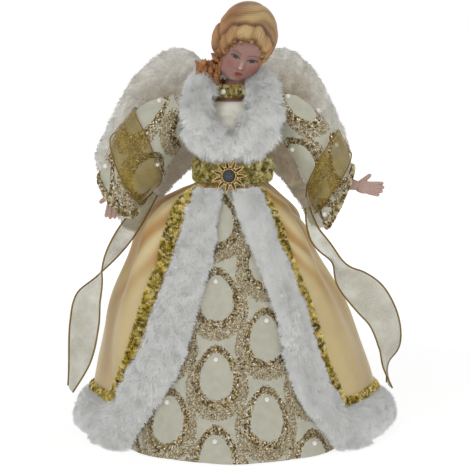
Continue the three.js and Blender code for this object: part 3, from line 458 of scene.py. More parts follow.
def organza_finish(name, tone, cover, clearness):
    """Sheer cloth: part of the light goes straight through it, with a shimmer of fine threads."""
    material, tree, shader = new_material(name)
    threads = noise(tree, THREAD_SIZE, 2.0)
    base = by_tone(tree, ramp(tree, threads, (0.35, tone * 0.85), (0.6, tone), (0.75, tone * 1.25)))
    feed(tree, shader, {"Base Color": base, "Roughness": 0.42, "Metallic": 0.25, "Sheen Weight": 0.4})
    clear = put(tree, "BsdfTransparent", {0: (*mix(tone, 1.0, clearness), 1.0)})
    share = calc(tree, "MULTIPLY_ADD", noise(tree, SHIMMER_PATCH), 0.7, cover - 0.35)
    both = put(tree, "MixShader", {0: share, 1: clear.outputs[0], 2: shader.outputs[0]})
    feed(tree, tree.nodes["Material Output"], {0: both.outputs[0]})
    return material


WHITE_FUR = colour(250, 251, 247)
WING_WHITE = colour(248, 246, 238)
WING_BEIGE = colour(184, 164, 132)
GOLD_SATIN = colour(208, 184, 130)
# The satin's painted highlight on its ridges and painted shade in its folds
SATIN_PAINTED_HIGHLIGHT = colour(224, 207, 162)
SATIN_PAINTED_SHADE = colour(176, 122, 44)
fur_look = fur_finish("plush")
card_look = plain("card", colour(186, 160, 122), 0.9, grain=3.0, vary=0.2)
foam_look = plain("foam", colour(233, 230, 222), 0.9, grain=1.5, depth=0.3)
socket_look = plain("moulded_socket", colour(220, 217, 208), 0.5, grain=6.0)
wire_look = plain("steel_wire", colour(154, 154, 152), 0.35, metallic=1.0, grain=0.6)
# The skin glows a little: painted light that lifts its shade.
skin_look = in_own_tones("painted_casting", 0.45, grain=3.0, depth=0.03, vary=0.04, glow=0.06)
hand_look = plain("cast_hands", colour(188, 156, 144), 0.5, grain=3.0, depth=0.05, vary=0.1)
hair_look = in_own_tones("painted_hair", 0.5, grain=0.9, depth=0.25, vary=0.14)
satin_look = in_own_tones("satin", 0.5, grain=14.0, depth=0.3, vary=0.1, sheen=0.15)
bodice_look = plain("bodice_satin", colour(240, 237, 222), 0.42, grain=8.0, depth=0.4, vary=0.1, sheen=0.2)
# The tinsel glows a little: painted light that lifts it out of its shade.
braid_look = in_own_tones("tinsel", 0.36, metallic=0.45, grain=1.0, vary=0.2, glow=0.14)
star_look = in_own_tones("brooch_gold", 0.26, metallic=0.9, grain=0.6, vary=0.4)
pearl_look = plain("pearl", colour(244, 240, 230), 0.16, grain=2.0, depth=0.02, vary=0.06)
gem_look = plain("smoky_gem", colour(66, 68, 74), 0.08, grain=1.4, depth=1.0, vary=0.8)
cloth_look = glitter_cloth("medallion_cloth", colour(194, 192, 173))
organza_look = organza_finish("organza", colour(180, 154, 52), cover=0.17, clearness=0.82)
sheer_look = organza_finish("sheer_organza", colour(176, 172, 146), cover=0.34, clearness=0.75)
edge_look = plain("gold_wire_edge", colour(140, 112, 42), 0.4, metallic=0.9, grain=0.7, vary=0.5)


def paint(node, material):
    """The finish of a CAD node, on its own slots."""
    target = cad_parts[node]
    if not target.material_slots:
        target.data.materials.append(material)
    for held in target.material_slots:
        held.material = material


# Skirts
CONE_HEIGHT = 181.0
CONE_FOOT_RADIUS = 86.0
CONE_TOP_RADIUS = 18.0
SEAT_GAP = 0.35
CLOTH_THICK = 1.0
HEM_CLEARANCE = 0.8
UNDERSKIRT_DROP = 1.0
HEM_RIPPLE_DEPTH = 3.0
HEM_RIPPLE_COUNT = 9
TORSO_FOOT = CONE_HEIGHT + SEAT_GAP
BELT_DROP = 4.0
BELT_FOOT = CONE_HEIGHT - BELT_DROP
BELT_HEIGHT = 14.5
BELT_THICK = 2.6
OVERSKIRT_HEM_GAP = 3.0
OVERSKIRT_DROP = 2.0
OVERSKIRT_PUFF = 25.0
OVERSKIRT_LIFT = 1.2
BACK_PUFF_SHARE = 0.72
FOLD_DEPTH = 3.2
FOLD_COUNT = 12
FOLD_SWIRL = 0.8
PUFF_OPEN_ANGLE = 52 * DEGREE
PUFF_SHARES = [
    [0, 0.66, 0.04], [0.12, 0.75, 0.06], [0.3, 0.92, -0.02], [0.5, 1.06, -0.16], [0.7, 0.93, -0.26],
    [0.84, 0.9, -0.32], [0.92, 0.66, -0.24], [0.97, 0.26, -0.1], [1, 0, 0],
]
SLIT_HALF_ANGLES = [
    [0, 50], [0.08, 46], [0.2, 37.5], [0.33, 32], [0.44, 30.5],
    [0.56, 29], [0.69, 23.5], [0.83, 16.5], [0.97, 9.5], [1, 9],
]
SLIT_LEAN_ANGLES = [
    [0, 0], [0.2, -1], [0.33, 1], [0.5, 3], [0.69, 2], [0.83, -3], [0.97, -8], [1, -8.5],
]
# The satin's creases: where each kind starts above the floor, how far up it grows, and its depth
GATHER_START = 95.0
GATHER_RISE = 75.0
GATHER_DEPTH = 1.15
GATHER_COUNT = 24
CREASE_START = 26.0
CREASE_RISE = 30.0
CREASE_DEPTH = 0.6
PLEAT_COUNT = 19
PLEAT_DEPTH = 0.75
# Painted shade in the satin's folds and painted highlight on their ridges: where they start above the floor
# and how far up they grow
SATIN_SHADE_START = 70.0
SATIN_SHADE_RISE = 90.0
SATIN_PATCH = 16.0


def cone_radius(z):
    return mix(CONE_FOOT_RADIUS, CONE_TOP_RADIUS, z / CONE_HEIGHT)


def underskirt_radius(angle, z):
    low = 1 - z / CONE_HEIGHT
    ripple = (1 + cos(HEM_RIPPLE_COUNT * angle)) / 2
    return cone_radius(z) + SEAT_GAP + CLOTH_THICK + HEM_RIPPLE_DEPTH * low**3 * ripple


def slit_half(z):
    return along(SLIT_HALF_ANGLES, z / CONE_HEIGHT) * DEGREE


def slit_lean(z):
    return along(SLIT_LEAN_ANGLES, z / CONE_HEIGHT) * DEGREE


def signed(angle):
    return (angle + pi) % TURN - pi


def past_slit(angle, z):
    """The angle from the edge of the overskirt's opening."""
    return np.abs(signed(angle) - slit_lean(z)) - slit_half(z)


def fold_wave(angle):
    return cos(FOLD_COUNT * angle + FOLD_SWIRL * sin(3 * angle))


def gather_wave(angle, z):
    """Creases that fan out downwards from the slit's edges at the waist."""
    ahead = (1 + cos(angle)) / 2
    fan = GATHER_COUNT * (past_slit(angle, z) + 0.9 * ahead * z / CONE_HEIGHT)
    fan = fan + 1.2 * ahead * np.sign(sin(angle))
    return sin(fan + 1.4 * sin(0.37 * fan + 0.02 * z) + 0.8 * sin(0.061 * z + 3 * angle))


def overskirt_radius(angle, z, detail=0.0):
    opened = smooth(past_slit(angle, z) / PUFF_OPEN_ANGLE)
    behind = (1 - cos(angle)) / 2
    puff = along(PUFF_SHARES, z / BELT_FOOT) + along(PUFF_SHARES, z / BELT_FOOT, 2) * sin(angle)
    puff = puff * mix(1, BACK_PUFF_SHARE, behind**2)
    low = 1 - z / CONE_HEIGHT
    base = cone_radius(z) + 2 * SEAT_GAP + 2 * CLOTH_THICK + HEM_RIPPLE_DEPTH * low**3
    radius = base + OVERSKIRT_LIFT + opened * puff * (OVERSKIRT_PUFF + FOLD_DEPTH * fold_wave(angle))
    if np.any(detail):
        top = smooth((z - GATHER_START) / GATHER_RISE)
        gather = GATHER_DEPTH * gather_wave(angle, z) * top * clip(puff * 2, 0, 1)
        pleat = PLEAT_DEPTH * cos(PLEAT_COUNT * angle + 0.018 * z + 1.1 * sin(3 * angle))
        crease = CREASE_DEPTH * sin(0.09 * z + 7 * angle + 2 * sin(4 * angle)) * cos(5 * angle - 0.02 * z)
        shown = detail * smooth(3 * opened) * smooth((z - CREASE_START) / CREASE_RISE)
        radius = radius + shown * (gather + (pleat + crease) * (1 - top))
    return radius


def satin_tones(angle, z):
    """Painted shade: folds are darker and warmer where they close up under the belt, with painted
    highlights on their ridges.
    """
    top = smooth((z - SATIN_SHADE_START) / SATIN_SHADE_RISE)
    wave = gather_wave(angle, z)
    broad = fold_wave(angle)
    patch = wander(around(angle, cone_radius(z), z), SATIN_PATCH, 71)
    fold = clip(top * (0.4 - 0.5 * wave) + 0.12 - 0.16 * broad + 0.14 * patch, 0, 1)
    light = clip(0.25 * broad + 0.3 * wave * top + 0.15 * patch, 0, 1)
    return mix(mix(GOLD_SATIN, SATIN_PAINTED_SHADE, fold[:, None]), SATIN_PAINTED_HIGHLIGHT, light[:, None])


FUR_WIDTH = 26.0
FUR_THICK = 9.0
FUR_FOOT_GAP = 0.6
FUR_TOP_GAP = 1.7
FUR_HEM_HEIGHT = 27.0
FUR_HEM_THICK = 10.0
FUR_TUCK_SHARE = 0.25
FUR_WIDTH_SHARES = {
    -1: [
        [0, 1.33], [0.13, 1.33], [0.32, 1.2], [0.49, 1],
        [0.62, 0.88], [0.75, 0.75], [0.85, 0.64], [1, 0.62],
    ],
    1: [
        [0, 1.05], [0.19, 1], [0.34, 0.88], [0.48, 0.74],
        [0.62, 0.66], [0.75, 0.65], [0.85, 0.66], [1, 0.64],
    ],
}
BRAID_WIDTH = 4.6
BRAID_THICK = 1.8
BRAID_EDGE = 0.4
FUR_TOP = BELT_FOOT - FUR_TOP_GAP
HEM_BRAID_FOOT = FUR_FOOT_GAP + FUR_HEM_HEIGHT + SEAT_GAP


def trim_radius(z):
    return cone_radius(z) + 2 * CLOTH_THICK + OVERSKIRT_LIFT + FUR_THICK / 2


def fur_span(side, z):
    return FUR_WIDTH * along(FUR_WIDTH_SHARES[side], z / CONE_HEIGHT) / trim_radius(z)


def fur_edge(side, z, across):
    return slit_lean(z) + side * (slit_half(z) + across * fur_span(side, z))


# Medallions of the patterned cloth, laid out on the flat cloth in millimetres
MEDALLION_ACROSS = 33.0
MEDALLION_DOWN = 53.0
MEDALLION_HALF_WIDTH = 12.0
MEDALLION_HALF_HEIGHT = 17.0
RING_START = 0.9
RING_END = 1.2
CRESCENT_WIDTH = 0.42
GLITTER_PATCH = 2.4
PEARL_RISE = 11.5
PEARL_RADIUS = 1.75
PEARL_MISS = 1.2
PEARL_LIFT_SHARE = 0.35


def offsets(flat, middle):
    """Each flat place, measured from the middles of the medallions round it."""
    pitch = np.array([2 * MEDALLION_ACROSS, MEDALLION_DOWN])
    for odd in (0, 1):
        off = flat - middle - odd * pitch / 2
        off = off - pitch * np.round(off / pitch)
        for shift in (-1, 0, 1):
            yield off + (0, shift * MEDALLION_DOWN)


def glitter_shares(flat, middle, size=1.0):
    """Shares of coarse and fine glitter: dense rings, and finer crescents that nearly fill between them."""
    ragged = wander(np.column_stack([flat, 0 * flat[:, 0]]), GLITTER_PATCH, 31) * 0.025
    rings, crescents = np.zeros((2, len(flat)))
    for off in offsets(flat / size, middle):
        rise = off[:, 1] / MEDALLION_HALF_HEIGHT
        narrow = 1 - 0.18 * clip(rise, -1.2, 1.2)
        reach = hypot(off[:, 0] / (MEDALLION_HALF_WIDTH * narrow), rise) + ragged
        inside = smooth((reach - RING_START) / 0.05)
        low = smooth((0.85 - rise) / 0.6)
        limit = RING_END + 0.02 + CRESCENT_WIDTH * low
        rings = np.maximum(rings, inside * (1 - smooth((reach - RING_END) / 0.07)))
        crescents = np.maximum(crescents, inside * (1 - smooth((reach - limit) / 0.06)))
        bare = reach < RING_START
        rings, crescents = np.where(bare, 0, rings), np.where(bare, 0, crescents)
    return np.column_stack([np.maximum(rings, 0.12 * crescents), 0.97 * crescents, 0 * rings])


def pearls(name, body, points, normals, flat, middle, keep, size=1.0):
    """Half pearls at the medallions' tops, where keep(point) says so."""
    shape = Shape()
    flat = flat / size
    pitch = np.array([MEDALLION_ACROSS, MEDALLION_DOWN / 2])
    low = np.floor((flat.min(0) - middle) / pitch).astype(int) - 1
    high = np.ceil((flat.max(0) - middle) / pitch).astype(int) + 1
    for across in range(low[0], high[0] + 1):
        for down in range(low[1], high[1] + 1):
            if (across + down) % 2:
                continue
            far = hypot(*(flat - middle - pitch * (across, down) - (0, PEARL_RISE)).T)
            nearest = int(far.argmin())
            if far[nearest] < PEARL_MISS and keep(points[nearest]):
                out = normals[nearest] * PEARL_RADIUS * PEARL_LIFT_SHARE
                shape.add(*ball(points[nearest] + out, PEARL_RADIUS))
    return build(name, shape, body, pearl_look)


CONE_SPREAD = CONE_FOOT_RADIUS - CONE_TOP_RADIUS
SLANT_SINE = CONE_SPREAD / math.hypot(CONE_SPREAD, CONE_HEIGHT)
SKIRT_MIDDLE = np.array([-10.5, -187.5])
SKIRT_PEARLS_TOP = 160.0
OVERSKIRT_TUCK = 4.0
CLOTH_WALL = 0.8


def underskirt_wall(u, v):
    angle = TURN * u - pi
    z = mix(HEM_CLEARANCE, CONE_HEIGHT - UNDERSKIRT_DROP, v)
    return around(angle, underskirt_radius(angle, z), z)


def flat_skirt(points):
    """The cone's cloth opened out flat."""
    distance = cone_radius(points[:, 2]) / SLANT_SINE
    turned = np.arctan2(points[:, 0], -points[:, 1]) * SLANT_SINE
    return np.column_stack([distance * sin(turned), -distance * cos(turned)])


points, faces = grid(underskirt_wall, 560, 190, looped=True)
flat = flat_skirt(points)
shape = Shape().add(points, faces, tone=glitter_shares(flat, SKIRT_MIDDLE))
underskirt = build(
    "patterned_underskirt", shape, "figure", cloth_look, ["underskirt"], wall=CLOTH_WALL
)
skirt_pearls = pearls(
    "skirt_pearls", "figure", points, point_normals(points, faces), flat, SKIRT_MIDDLE,
    lambda place: place[1] < 0 and place[2] < SKIRT_PEARLS_TOP,
)


def overskirt_wall(u, v):
    z = mix(OVERSKIRT_HEM_GAP, CONE_HEIGHT - OVERSKIRT_DROP, v)
    start, end = (slit_half(z) + FUR_TUCK_SHARE * fur_span(side, z) for side in (1, -1))
    angle = slit_lean(z) + mix(start, TURN - end, u)
    top = smooth((BELT_FOOT - SEAT_GAP - z) / OVERSKIRT_TUCK)
    return around(angle, overskirt_radius(angle, z, top), z)


points, faces = grid(overskirt_wall, 620, 200)
tones = satin_tones(np.arctan2(points[:, 0], -points[:, 1]), points[:, 2])
overskirt = build(
    "satin_overskirt", Shape().add(points, faces, tone=tones), "figure", satin_look,
    ["overskirt"], wall=CLOTH_WALL,
)


# Fur
PILE = 4.9
PILE_STAND = 2.6
BLADE_WIDTH = 0.42
FLOOR_REACH = 1.6
FUR_EDGE_SINK = 0.6
FUR_MARGIN = 1.5
JOIN_START = 5.0
JOIN_RISE = 6.0
FUR_FRONT_DROP = 1.0
FRONT_COUNT = 46000
HEM_COUNT = 62000
HEM_PARTS = 2
HEM_OVERLAP = 9.0
# Painted shade up a blade, darker at the root deep in the pile and a little lighter at the tip: two points
# at the root, two at its middle and the tip
BLADE_PAINTED_SHADE_SHARES = [0.8, 0.8, 1, 1, 1.06]


def on_floor(points):
    """Strands that reach the floor lie down on it."""
    height = points[:, 2]
    bent = FLOOR_REACH * exp(np.minimum(height / FLOOR_REACH - 1, 0))
    return np.column_stack([points[:, :2], np.where(height < FLOOR_REACH, bent, height)])


def white_fur(places):
    return WHITE_FUR


def fur_piece(
    name, pad, body, replaces, lay, count, seed,
    tone=white_fur, pile=PILE, lean=0.55, clump=0.34, clear=np.asarray,
):
    """A pad of plush, given as its points and faces: a base under the pile, and blades over it."""
    base, base_faces = pad
    # The base under the pile is painted a little darker, as painted shade.
    shape = Shape().add(base, base_faces, tone=tone(base) * 0.9, normals=point_normals(base, base_faces))
    made = half_size(count)
    blades, blade_faces, soft, roots = strands(
        base, base_faces, made, pile, BLADE_WIDTH, lay, lean, 0.26, seed, clump=clump
    )
    vary = 1 + 0.07 * np.repeat(np.random.default_rng(seed).normal(size=(made, 1)), 5, 0)
    shaded = np.tile(BLADE_PAINTED_SHADE_SHARES, made)[:, None]
    shape.add(blades, blade_faces, tone=clip(tone(roots) * vary * shaded, 0, 0.97), normals=soft)
    shape.points = [clear(on_floor(part)) for part in shape.points]
    return build(name, shape, body, fur_look, replaces)


def crown(u, thick, edge):
    return edge + (thick - edge) * sqrt(clip(1 - (2 * u - 1) ** 2, 0, 1))


def fur_strip(angle_at, height_at, thick, columns, rows, joined=False):
    """A crowned pad on the overskirt, under the pile; a joined one stays full beside the hem."""

    def surface(u, v):
        z = height_at(u, v)
        angle = angle_at(u, v)
        rise = crown(u, thick - PILE_STAND, -FUR_EDGE_SINK)
        if joined:
            met = (1 - smooth((z - FUR_HEM_HEIGHT + JOIN_START) / JOIN_RISE)) * smooth(3 * u - 1)
            rise = mix(rise, thick - PILE_STAND, met)
        return around(angle, overskirt_radius(angle, z) + rise, z)

    return outward(*grid(surface, columns, rows))


def fur_front(name, side):
    """The fur down one edge of the overskirt's opening."""

    def height(u, v):
        return mix(FUR_FOOT_GAP + FUR_MARGIN, FUR_TOP - FUR_FRONT_DROP, v)

    def angle(u, v):
        return fur_edge(side, height(u, v), mix(0.06, 0.94, u))

    def lay(places):
        """The pile is combed down and over both edges."""
        turned = np.arctan2(places[:, 0], -places[:, 1])
        across = side * (turned - fur_edge(side, places[:, 2], 0.5)) / fur_span(side, places[:, 2])
        return np.column_stack([side * 1.9 * across, 0 * across, across * 0 - 1])

    pad = fur_strip(angle, height, FUR_THICK, 14, 110, joined=True)
    return fur_piece(f"fur_band_{name}", pad, "figure", [f"fur_front_{name}"], lay, FRONT_COUNT, 20 + side)


def hem_angle(z, v, overlap=0.0):
    gap = (2 * SEAT_GAP - overlap) / CONE_FOOT_RADIUS
    return mix(fur_edge(1, z, 1) + gap, TURN + fur_edge(-1, z, 1) - gap, v)


def fur_hem(part):
    """One of the lengths of fur round the hem; they overlap a little."""

    def height(u, v):
        return FUR_FOOT_GAP + mix(FUR_MARGIN, FUR_HEM_HEIGHT - FUR_MARGIN, u)

    def angle(u, v):
        return hem_angle(height(u, v), (part + v) / HEM_PARTS, HEM_OVERLAP)

    pad = fur_strip(angle, height, FUR_HEM_THICK, 14, 150)
    return fur_piece(f"fur_hem_{part + 1}", pad, "figure", ["fur_hem"], (0, 0, -1), HEM_COUNT, 40 + part)


trim_pieces = [fur_front(name, side) for name, side in SIDES.items()]
trim_pieces += [fur_hem(part) for part in range(HEM_PARTS)]


# Collar
COLLAR_SPAN = 34.0
COLLAR_RISE = 12.15
COLLAR_FOOT = TORSO_FOOT + COLLAR_RISE
COLLAR_HALF_THICK = 5.8
COLLAR_PILE = 6.6
# From the front round to the back: the section's middle, its half width and the way to its inner edge
COLLAR_SHARES = [
    [0, -0.775, 0.285, 0.285, 0, 0, 1],
    [0.3, -0.775, 0.375, 0.38, -0.5, 0, 0.87],
    [0.51, -0.77, 0.565, 0.425, -0.85, 0, 0.53],
    [0.61, -0.71, 0.9, 0.4, -0.99, 0, 0.1],
    [0.6, -0.45, 1.27, 0.36, -0.93, 0.1, 0.35],
    [0.63, -0.1, 1.49, 0.29, -0.85, 0, 0.53],
    [0.544, 0.26, 1.6, 0.294, -0.5, -0.4, 0.75],
    [0.265, 0.45, 1.57, 0.294, -0.15, -0.25, 0.95],
    [0, 0.51, 1.54, 0.294, 0, -0.15, 1],
]
COLLAR_LOOP = COLLAR_SHARES + [
    [-row[0], *row[1:4], -row[4], *row[5:]] for row in reversed(COLLAR_SHARES[1:-1])
]
SHOULDER_HALF_WIDTH = 36.0
SHOULDER_RISE = 40.65
SHOULDER_UP = TORSO_FOOT + SHOULDER_RISE
SHOULDER_RADIUS = 17.0
ARMHOLE_GAP = 0.8
# How far the two fronts are pulled apart, and where across them that starts, rises, ends and falls
COLLAR_PULLS = [[-6.0, -34, 14, 2, 8], [2.4, 6, 6, 30, 14]]
PULL_START = 6.0
PULL_RISE = 14.0
PULL_HOLD = 38.0
PULL_SPAN = 6.0


def collar_surface(u, v):
    row = row_at(COLLAR_LOOP, v % 1.0, looped=True)
    ahead = row_at(COLLAR_LOOP, (v + 0.004) % 1.0, looped=True)
    middle, next_middle = (rows[..., :3] * COLLAR_SPAN + (0, 0, COLLAR_FOOT) for rows in (row, ahead))
    inward = unit(row[..., 4:7])
    out = unit(cross(unit(next_middle - middle), inward))
    angle = TURN * u
    wide = (row[..., 3] * COLLAR_SPAN - PILE_STAND * 0.8) * cos(angle)
    thick = (COLLAR_HALF_THICK - PILE_STAND * 0.6) * sin(angle)
    return middle + inward * wide[..., None] + out * thick[..., None]


def clear_of_shoulders(points):
    """Points pushed out of the armholes that the sleeves turn in."""
    reach = SHOULDER_RADIUS + ARMHOLE_GAP
    for side in SIDES.values():
        middle = np.array([side * SHOULDER_HALF_WIDTH, 0, SHOULDER_UP])
        off = points - middle
        far = np.linalg.norm(off, axis=-1, keepdims=True)
        points = np.where(far < reach, middle + off / np.maximum(far, 1e-6) * reach, points)
    return points


def opened(points):
    """The collar's two fronts are pulled a little apart, more at the left and less at their tops."""
    x, y, z = points.T
    up = smooth((z - COLLAR_FOOT - PULL_START) / PULL_RISE) * smooth((-y - PULL_START) / PULL_SPAN)
    up = up * (1 - 0.55 * smooth((z - COLLAR_FOOT - PULL_HOLD) / PULL_SPAN))
    for pull, start, rise, end, fall in COLLAR_PULLS:
        x = x + up * pull * smooth((points[:, 0] - start) / rise) * smooth((end - points[:, 0]) / fall)
    return np.column_stack([x, y, z])


def collar_lay(places):
    """The pile is combed out and down."""
    return unit(places * (1, 1, 0)) * 0.6 + (0, 0, -1)


points, faces = grid(collar_surface, 40, 220, looped=True)
collar = fur_piece(
    "plush_collar", shut(opened(points), faces), "figure", ["fur_collar"], collar_lay, 66000, 60,
    pile=COLLAR_PILE, clear=clear_of_shoulders, clump=0.5,
)

# Wings
WING_SPAN = 91.0
WING_HEIGHT = 136.0
SOCKET_RISE = 16.15
WING_DROP = 63.5
WING_FOOT = TORSO_FOOT + SOCKET_RISE - WING_DROP
WING_THICK = 9.0
WING_SWEEP = 8.0
WING_SET = 2.6
WING_PILE = 2.8
WING_PILE_STAND = 1.6
WING_EDGE_HALF = 0.3
WING_PATCH = 12.0
WING_TONE_BACK = 8.0
WING_TONE_DEPTH = 10.0
WING_AXIS = (10.0, 22.4)
WING_FOLD = {"left": 4 * DEGREE, "right": 24 * DEGREE}
# Painted shade: the right wing's front is darker towards its inner part
WING_SHADE_SHARE = {"left": 0.0, "right": 0.2}
WING_SHARES = [
    [0.04, 0.456], [0.04, 0.72], [0.07, 0.88], [0.18, 0.978], [0.33, 1], [0.5, 0.95], [0.67, 0.84],
    [0.81, 0.69], [0.93, 0.53], [1, 0.41], [0.94, 0.27], [0.85, 0.12], [0.74, 0.02], [0.61, 0.035],
    [0.49, 0.16], [0.34, 0.28], [0.18, 0.38],
]
wing_middle = np.mean(WING_SHARES, axis=0)


def swung(points, angle):
    """Points turned round the upright axis."""
    x = points[..., 0] * math.cos(angle) - points[..., 1] * math.sin(angle)
    y = points[..., 0] * math.sin(angle) + points[..., 1] * math.cos(angle)
    return np.stack([x, y, points[..., 2]], -1)


def plush_wing(name, side):
    fold = side * WING_FOLD[name]
    hinge = (side * WING_AXIS[0], WING_AXIS[1], 0)

    def surface(u, v):
        """Once round the outline; v goes from the front's middle over the edge to the back's middle."""
        outline = row_at(WING_SHARES, u, looped=True)
        inset = np.abs(2 * v - 1)
        share = mix(outline, wing_middle, (0.035 + 0.965 * inset**1.2)[..., None])
        bulge = (WING_THICK / 2 - WING_PILE_STAND) * smooth(inset * 2.2) ** 0.6
        back = WING_SET + WING_SWEEP * share[..., 0] ** 2 + np.sign(v - 0.5) * (bulge + WING_EDGE_HALF)
        across = side * share[..., 0] * WING_SPAN
        return swung(np.stack([across, back, WING_FOOT + share[..., 1] * WING_HEIGHT], -1), fold) + hinge

    def tone(places):
        local = swung(places - hinge, -fold)
        out = np.abs(local[:, 0]) / WING_SPAN
        up = (local[:, 2] - WING_FOOT) / WING_HEIGHT
        front = smooth((WING_TONE_BACK - local[:, 1] + WING_SWEEP * out**2) / WING_TONE_DEPTH)
        inner = smooth((0.84 - out) / 0.5) * smooth((0.95 - up) / 0.35) * front
        patch = 0.12 * wander(places, WING_PATCH, 91)
        # Random patches, and painted shade on the right wing's front towards the body.
        patch = patch + WING_SHADE_SHARE[name] * front * smooth((0.95 - out) / 0.4)
        return mix(WING_WHITE, WING_BEIGE, clip(inner + patch, 0, 1)[:, None] * 0.8)

    def lay(places):
        """The pile is combed in from the tip and down."""
        local = swung(places - hinge, -fold)
        out = np.column_stack([local[:, 0], 0 * local[:, 0], local[:, 2] - WING_FOOT - 0.95 * WING_HEIGHT])
        return swung(unit(out) + (0, 0, -0.35), fold)

    return fur_piece(
        f"plush_wing_{name}", shut(*grid(surface, 150, 60, looped=True)), f"{name}_wing", [f"wing_{name}"],
        lay, 60000, 80 + side, tone=tone, pile=WING_PILE, lean=0.62,
    )


wing_pieces = [plush_wing(name, side) for name, side in SIDES.items()]

# Braid: a band hidden in metallic slivers
BRIGHT_GOLD = colour(248, 226, 98)
DEEP_GOLD = colour(142, 114, 34)
OLIVE_GOLD = colour(226, 212, 112)
PALE_GOLD = colour(222, 206, 156)
SPECK_SIZE = 1.45
BRAID_TOP_DROP = 0.5
SLIVER_LENGTH = 2.1
SLIVER_WIDTH = 0.5
BELT_SLIVER_LENGTH = 2.5
CUFF_SLIVER_LENGTH = 1.2


def specks(places, size, seed):
    """A random value from 0 to 1 for each little cell of space."""
    cell = np.floor(places / size).astype(int)
    mixed = (cell * (73856093, 19349663, 83492791)).sum(-1) + seed * 7919
    return (sin(mixed * 0.618) * 43758.5453) % 1.0


def tinsel_piece(name, band, body, replaces, count, seed, tone=BRIGHT_GOLD, length=SLIVER_LENGTH):
    """The band is points with faces; the slivers that stand on it go from dark to bright by cell, and the
    brightest are painted glints.
    """
    shape = Shape().add(*band, tone=mix(DEEP_GOLD, tone, 0.3))
    blades, blade_faces, _, roots = strands(
        *band, half_size(count), length, SLIVER_WIDTH, (0.2, 0, 1), 0.3, 1.0, seed, droop=0.8, clump=0.15
    )
    vary = 0.75 * specks(roots, SPECK_SIZE, seed) + 0.25 * specks(roots, SPECK_SIZE / 4, seed + 1)
    vary = smooth((vary - 0.14) / 0.62)[:, None]
    # The brightest cells are painted glints.
    tint = np.where(vary > 0.93, mix(tone, 1.0, 0.45), mix(DEEP_GOLD * 0.3, tone, vary))
    shape.add(blades, blade_faces, tone=clip(tint, 0, 1))
    return build(name, shape, body, braid_look, replaces)


def braid_radius(angle, z, u):
    return overskirt_radius(angle, z) + crown(u, BRAID_THICK, BRAID_EDGE) - BRAID_EDGE


def braid_front(name, side):
    def surface(u, v):
        z = mix(HEM_BRAID_FOOT + BRAID_WIDTH + SEAT_GAP, FUR_TOP - BRAID_TOP_DROP, v)
        angle = fur_edge(side, z, 1) + side * (1.5 * SEAT_GAP + u * BRAID_WIDTH) / trim_radius(z)
        return around(angle, braid_radius(angle, z, u), z)

    return tinsel_piece(
        f"braid_band_{name}", outward(*grid(surface, 6, 160)), "figure", [f"braid_front_{name}"], 17000,
        110 + side,
    )


def hem_braid(u, v):
    z = HEM_BRAID_FOOT + u * BRAID_WIDTH
    angle = hem_angle(z, v)
    return around(angle, braid_radius(angle, z, u), z)


trim_pieces += [braid_front(name, side) for name, side in SIDES.items()]
trim_pieces.append(
    tinsel_piece("braid_band_hem", outward(*grid(hem_braid, 6, 420)), "figure", ["braid_hem"], 38000, 120)
)

# Torso and belt
TORSO_HALF_WIDTH = 19.3
TORSO_HALF_DEPTH = 17.0
TORSO_HEIGHT = 46.0
PLATE_HEIGHT = 7.0
TORSO_TOP = TORSO_FOOT + TORSO_HEIGHT
PLATE_TOP = TORSO_TOP + PLATE_HEIGHT
BODICE_DROP = 2.4
BODICE_OUT = SEAT_GAP + CLOTH_THICK
TUCK_DEPTH = 0.45
TORSO_SHARES = [
    [0, 1.19, 1.32], [0.14, 1.12, 1.22], [0.3, 1, 1.1], [0.5, 0.98, 1.08],
    [0.66, 0.99, 1], [0.8, 0.95, 0.88], [0.92, 0.7, 0.72], [1, 0.4, 0.5],
]


def torso_point(angle, height, out):
    share = (height - TORSO_FOOT) / (PLATE_TOP - TORSO_FOOT)
    half_width = TORSO_HALF_WIDTH * along(TORSO_SHARES, share, 1) + out
    half_depth = TORSO_HALF_DEPTH * along(TORSO_SHARES, share, 2) + out
    angle, half_width, half_depth, height = np.broadcast_arrays(angle, half_width, half_depth, height)
    return np.stack([half_width * sin(angle), -half_depth * cos(angle), height], -1)


def bodice_wall(u, v):
    height = mix(TORSO_FOOT, PLATE_TOP - BODICE_DROP, v)
    angle = TURN * u - pi
    tuck = sin(0.78 * (height - TORSO_FOOT) + 9 * np.abs(sin(angle / 2)) + 2 * sin(3 * angle))
    return torso_point(angle, height, BODICE_OUT + TUCK_DEPTH * tuck * smooth(4 * v) * smooth(6 * (1 - v)))


bodice = build(
    "satin_bodice", Shape().add(*grid(bodice_wall, 200, 90, looped=True)), "figure", bodice_look,
    ["bodice"], wall=CLOTH_WALL,
)

BELT_RIDGE_DEPTH = 0.35
BELT_EDGE = 0.6
BELT_PILE_STAND = 0.9
waist = torso_point(linspace(0, TURN, 21), TORSO_FOOT, BODICE_OUT)
BELT_INNER = max(overskirt_radius(0.0, BELT_FOOT - SEAT_GAP), hypot(waist[:, 0], waist[:, 1]).max())
BELT_INNER += 2 * SEAT_GAP


def bulged(u):
    return sqrt(clip(1 - (0.8 * (2 * u - 1)) ** 2, 0, 1))


def belt_surface(u, v):
    """v goes round the waist, u up the belt."""
    rise = bulged(u) * (BELT_THICK - BELT_PILE_STAND)
    rise = rise + BELT_RIDGE_DEPTH * sin(9.5 * u) * sin(TURN * 17 * v + 3 * u)
    return around(TURN * v, BELT_INNER + rise, BELT_FOOT + mix(BELT_EDGE, BELT_HEIGHT - BELT_EDGE, u))


tinsel_piece(
    "tinsel_belt", outward(*grid(belt_surface, 12, 220)), "figure", ["belt"], 26000, 140, OLIVE_GOLD,
    BELT_SLIVER_LENGTH,
)

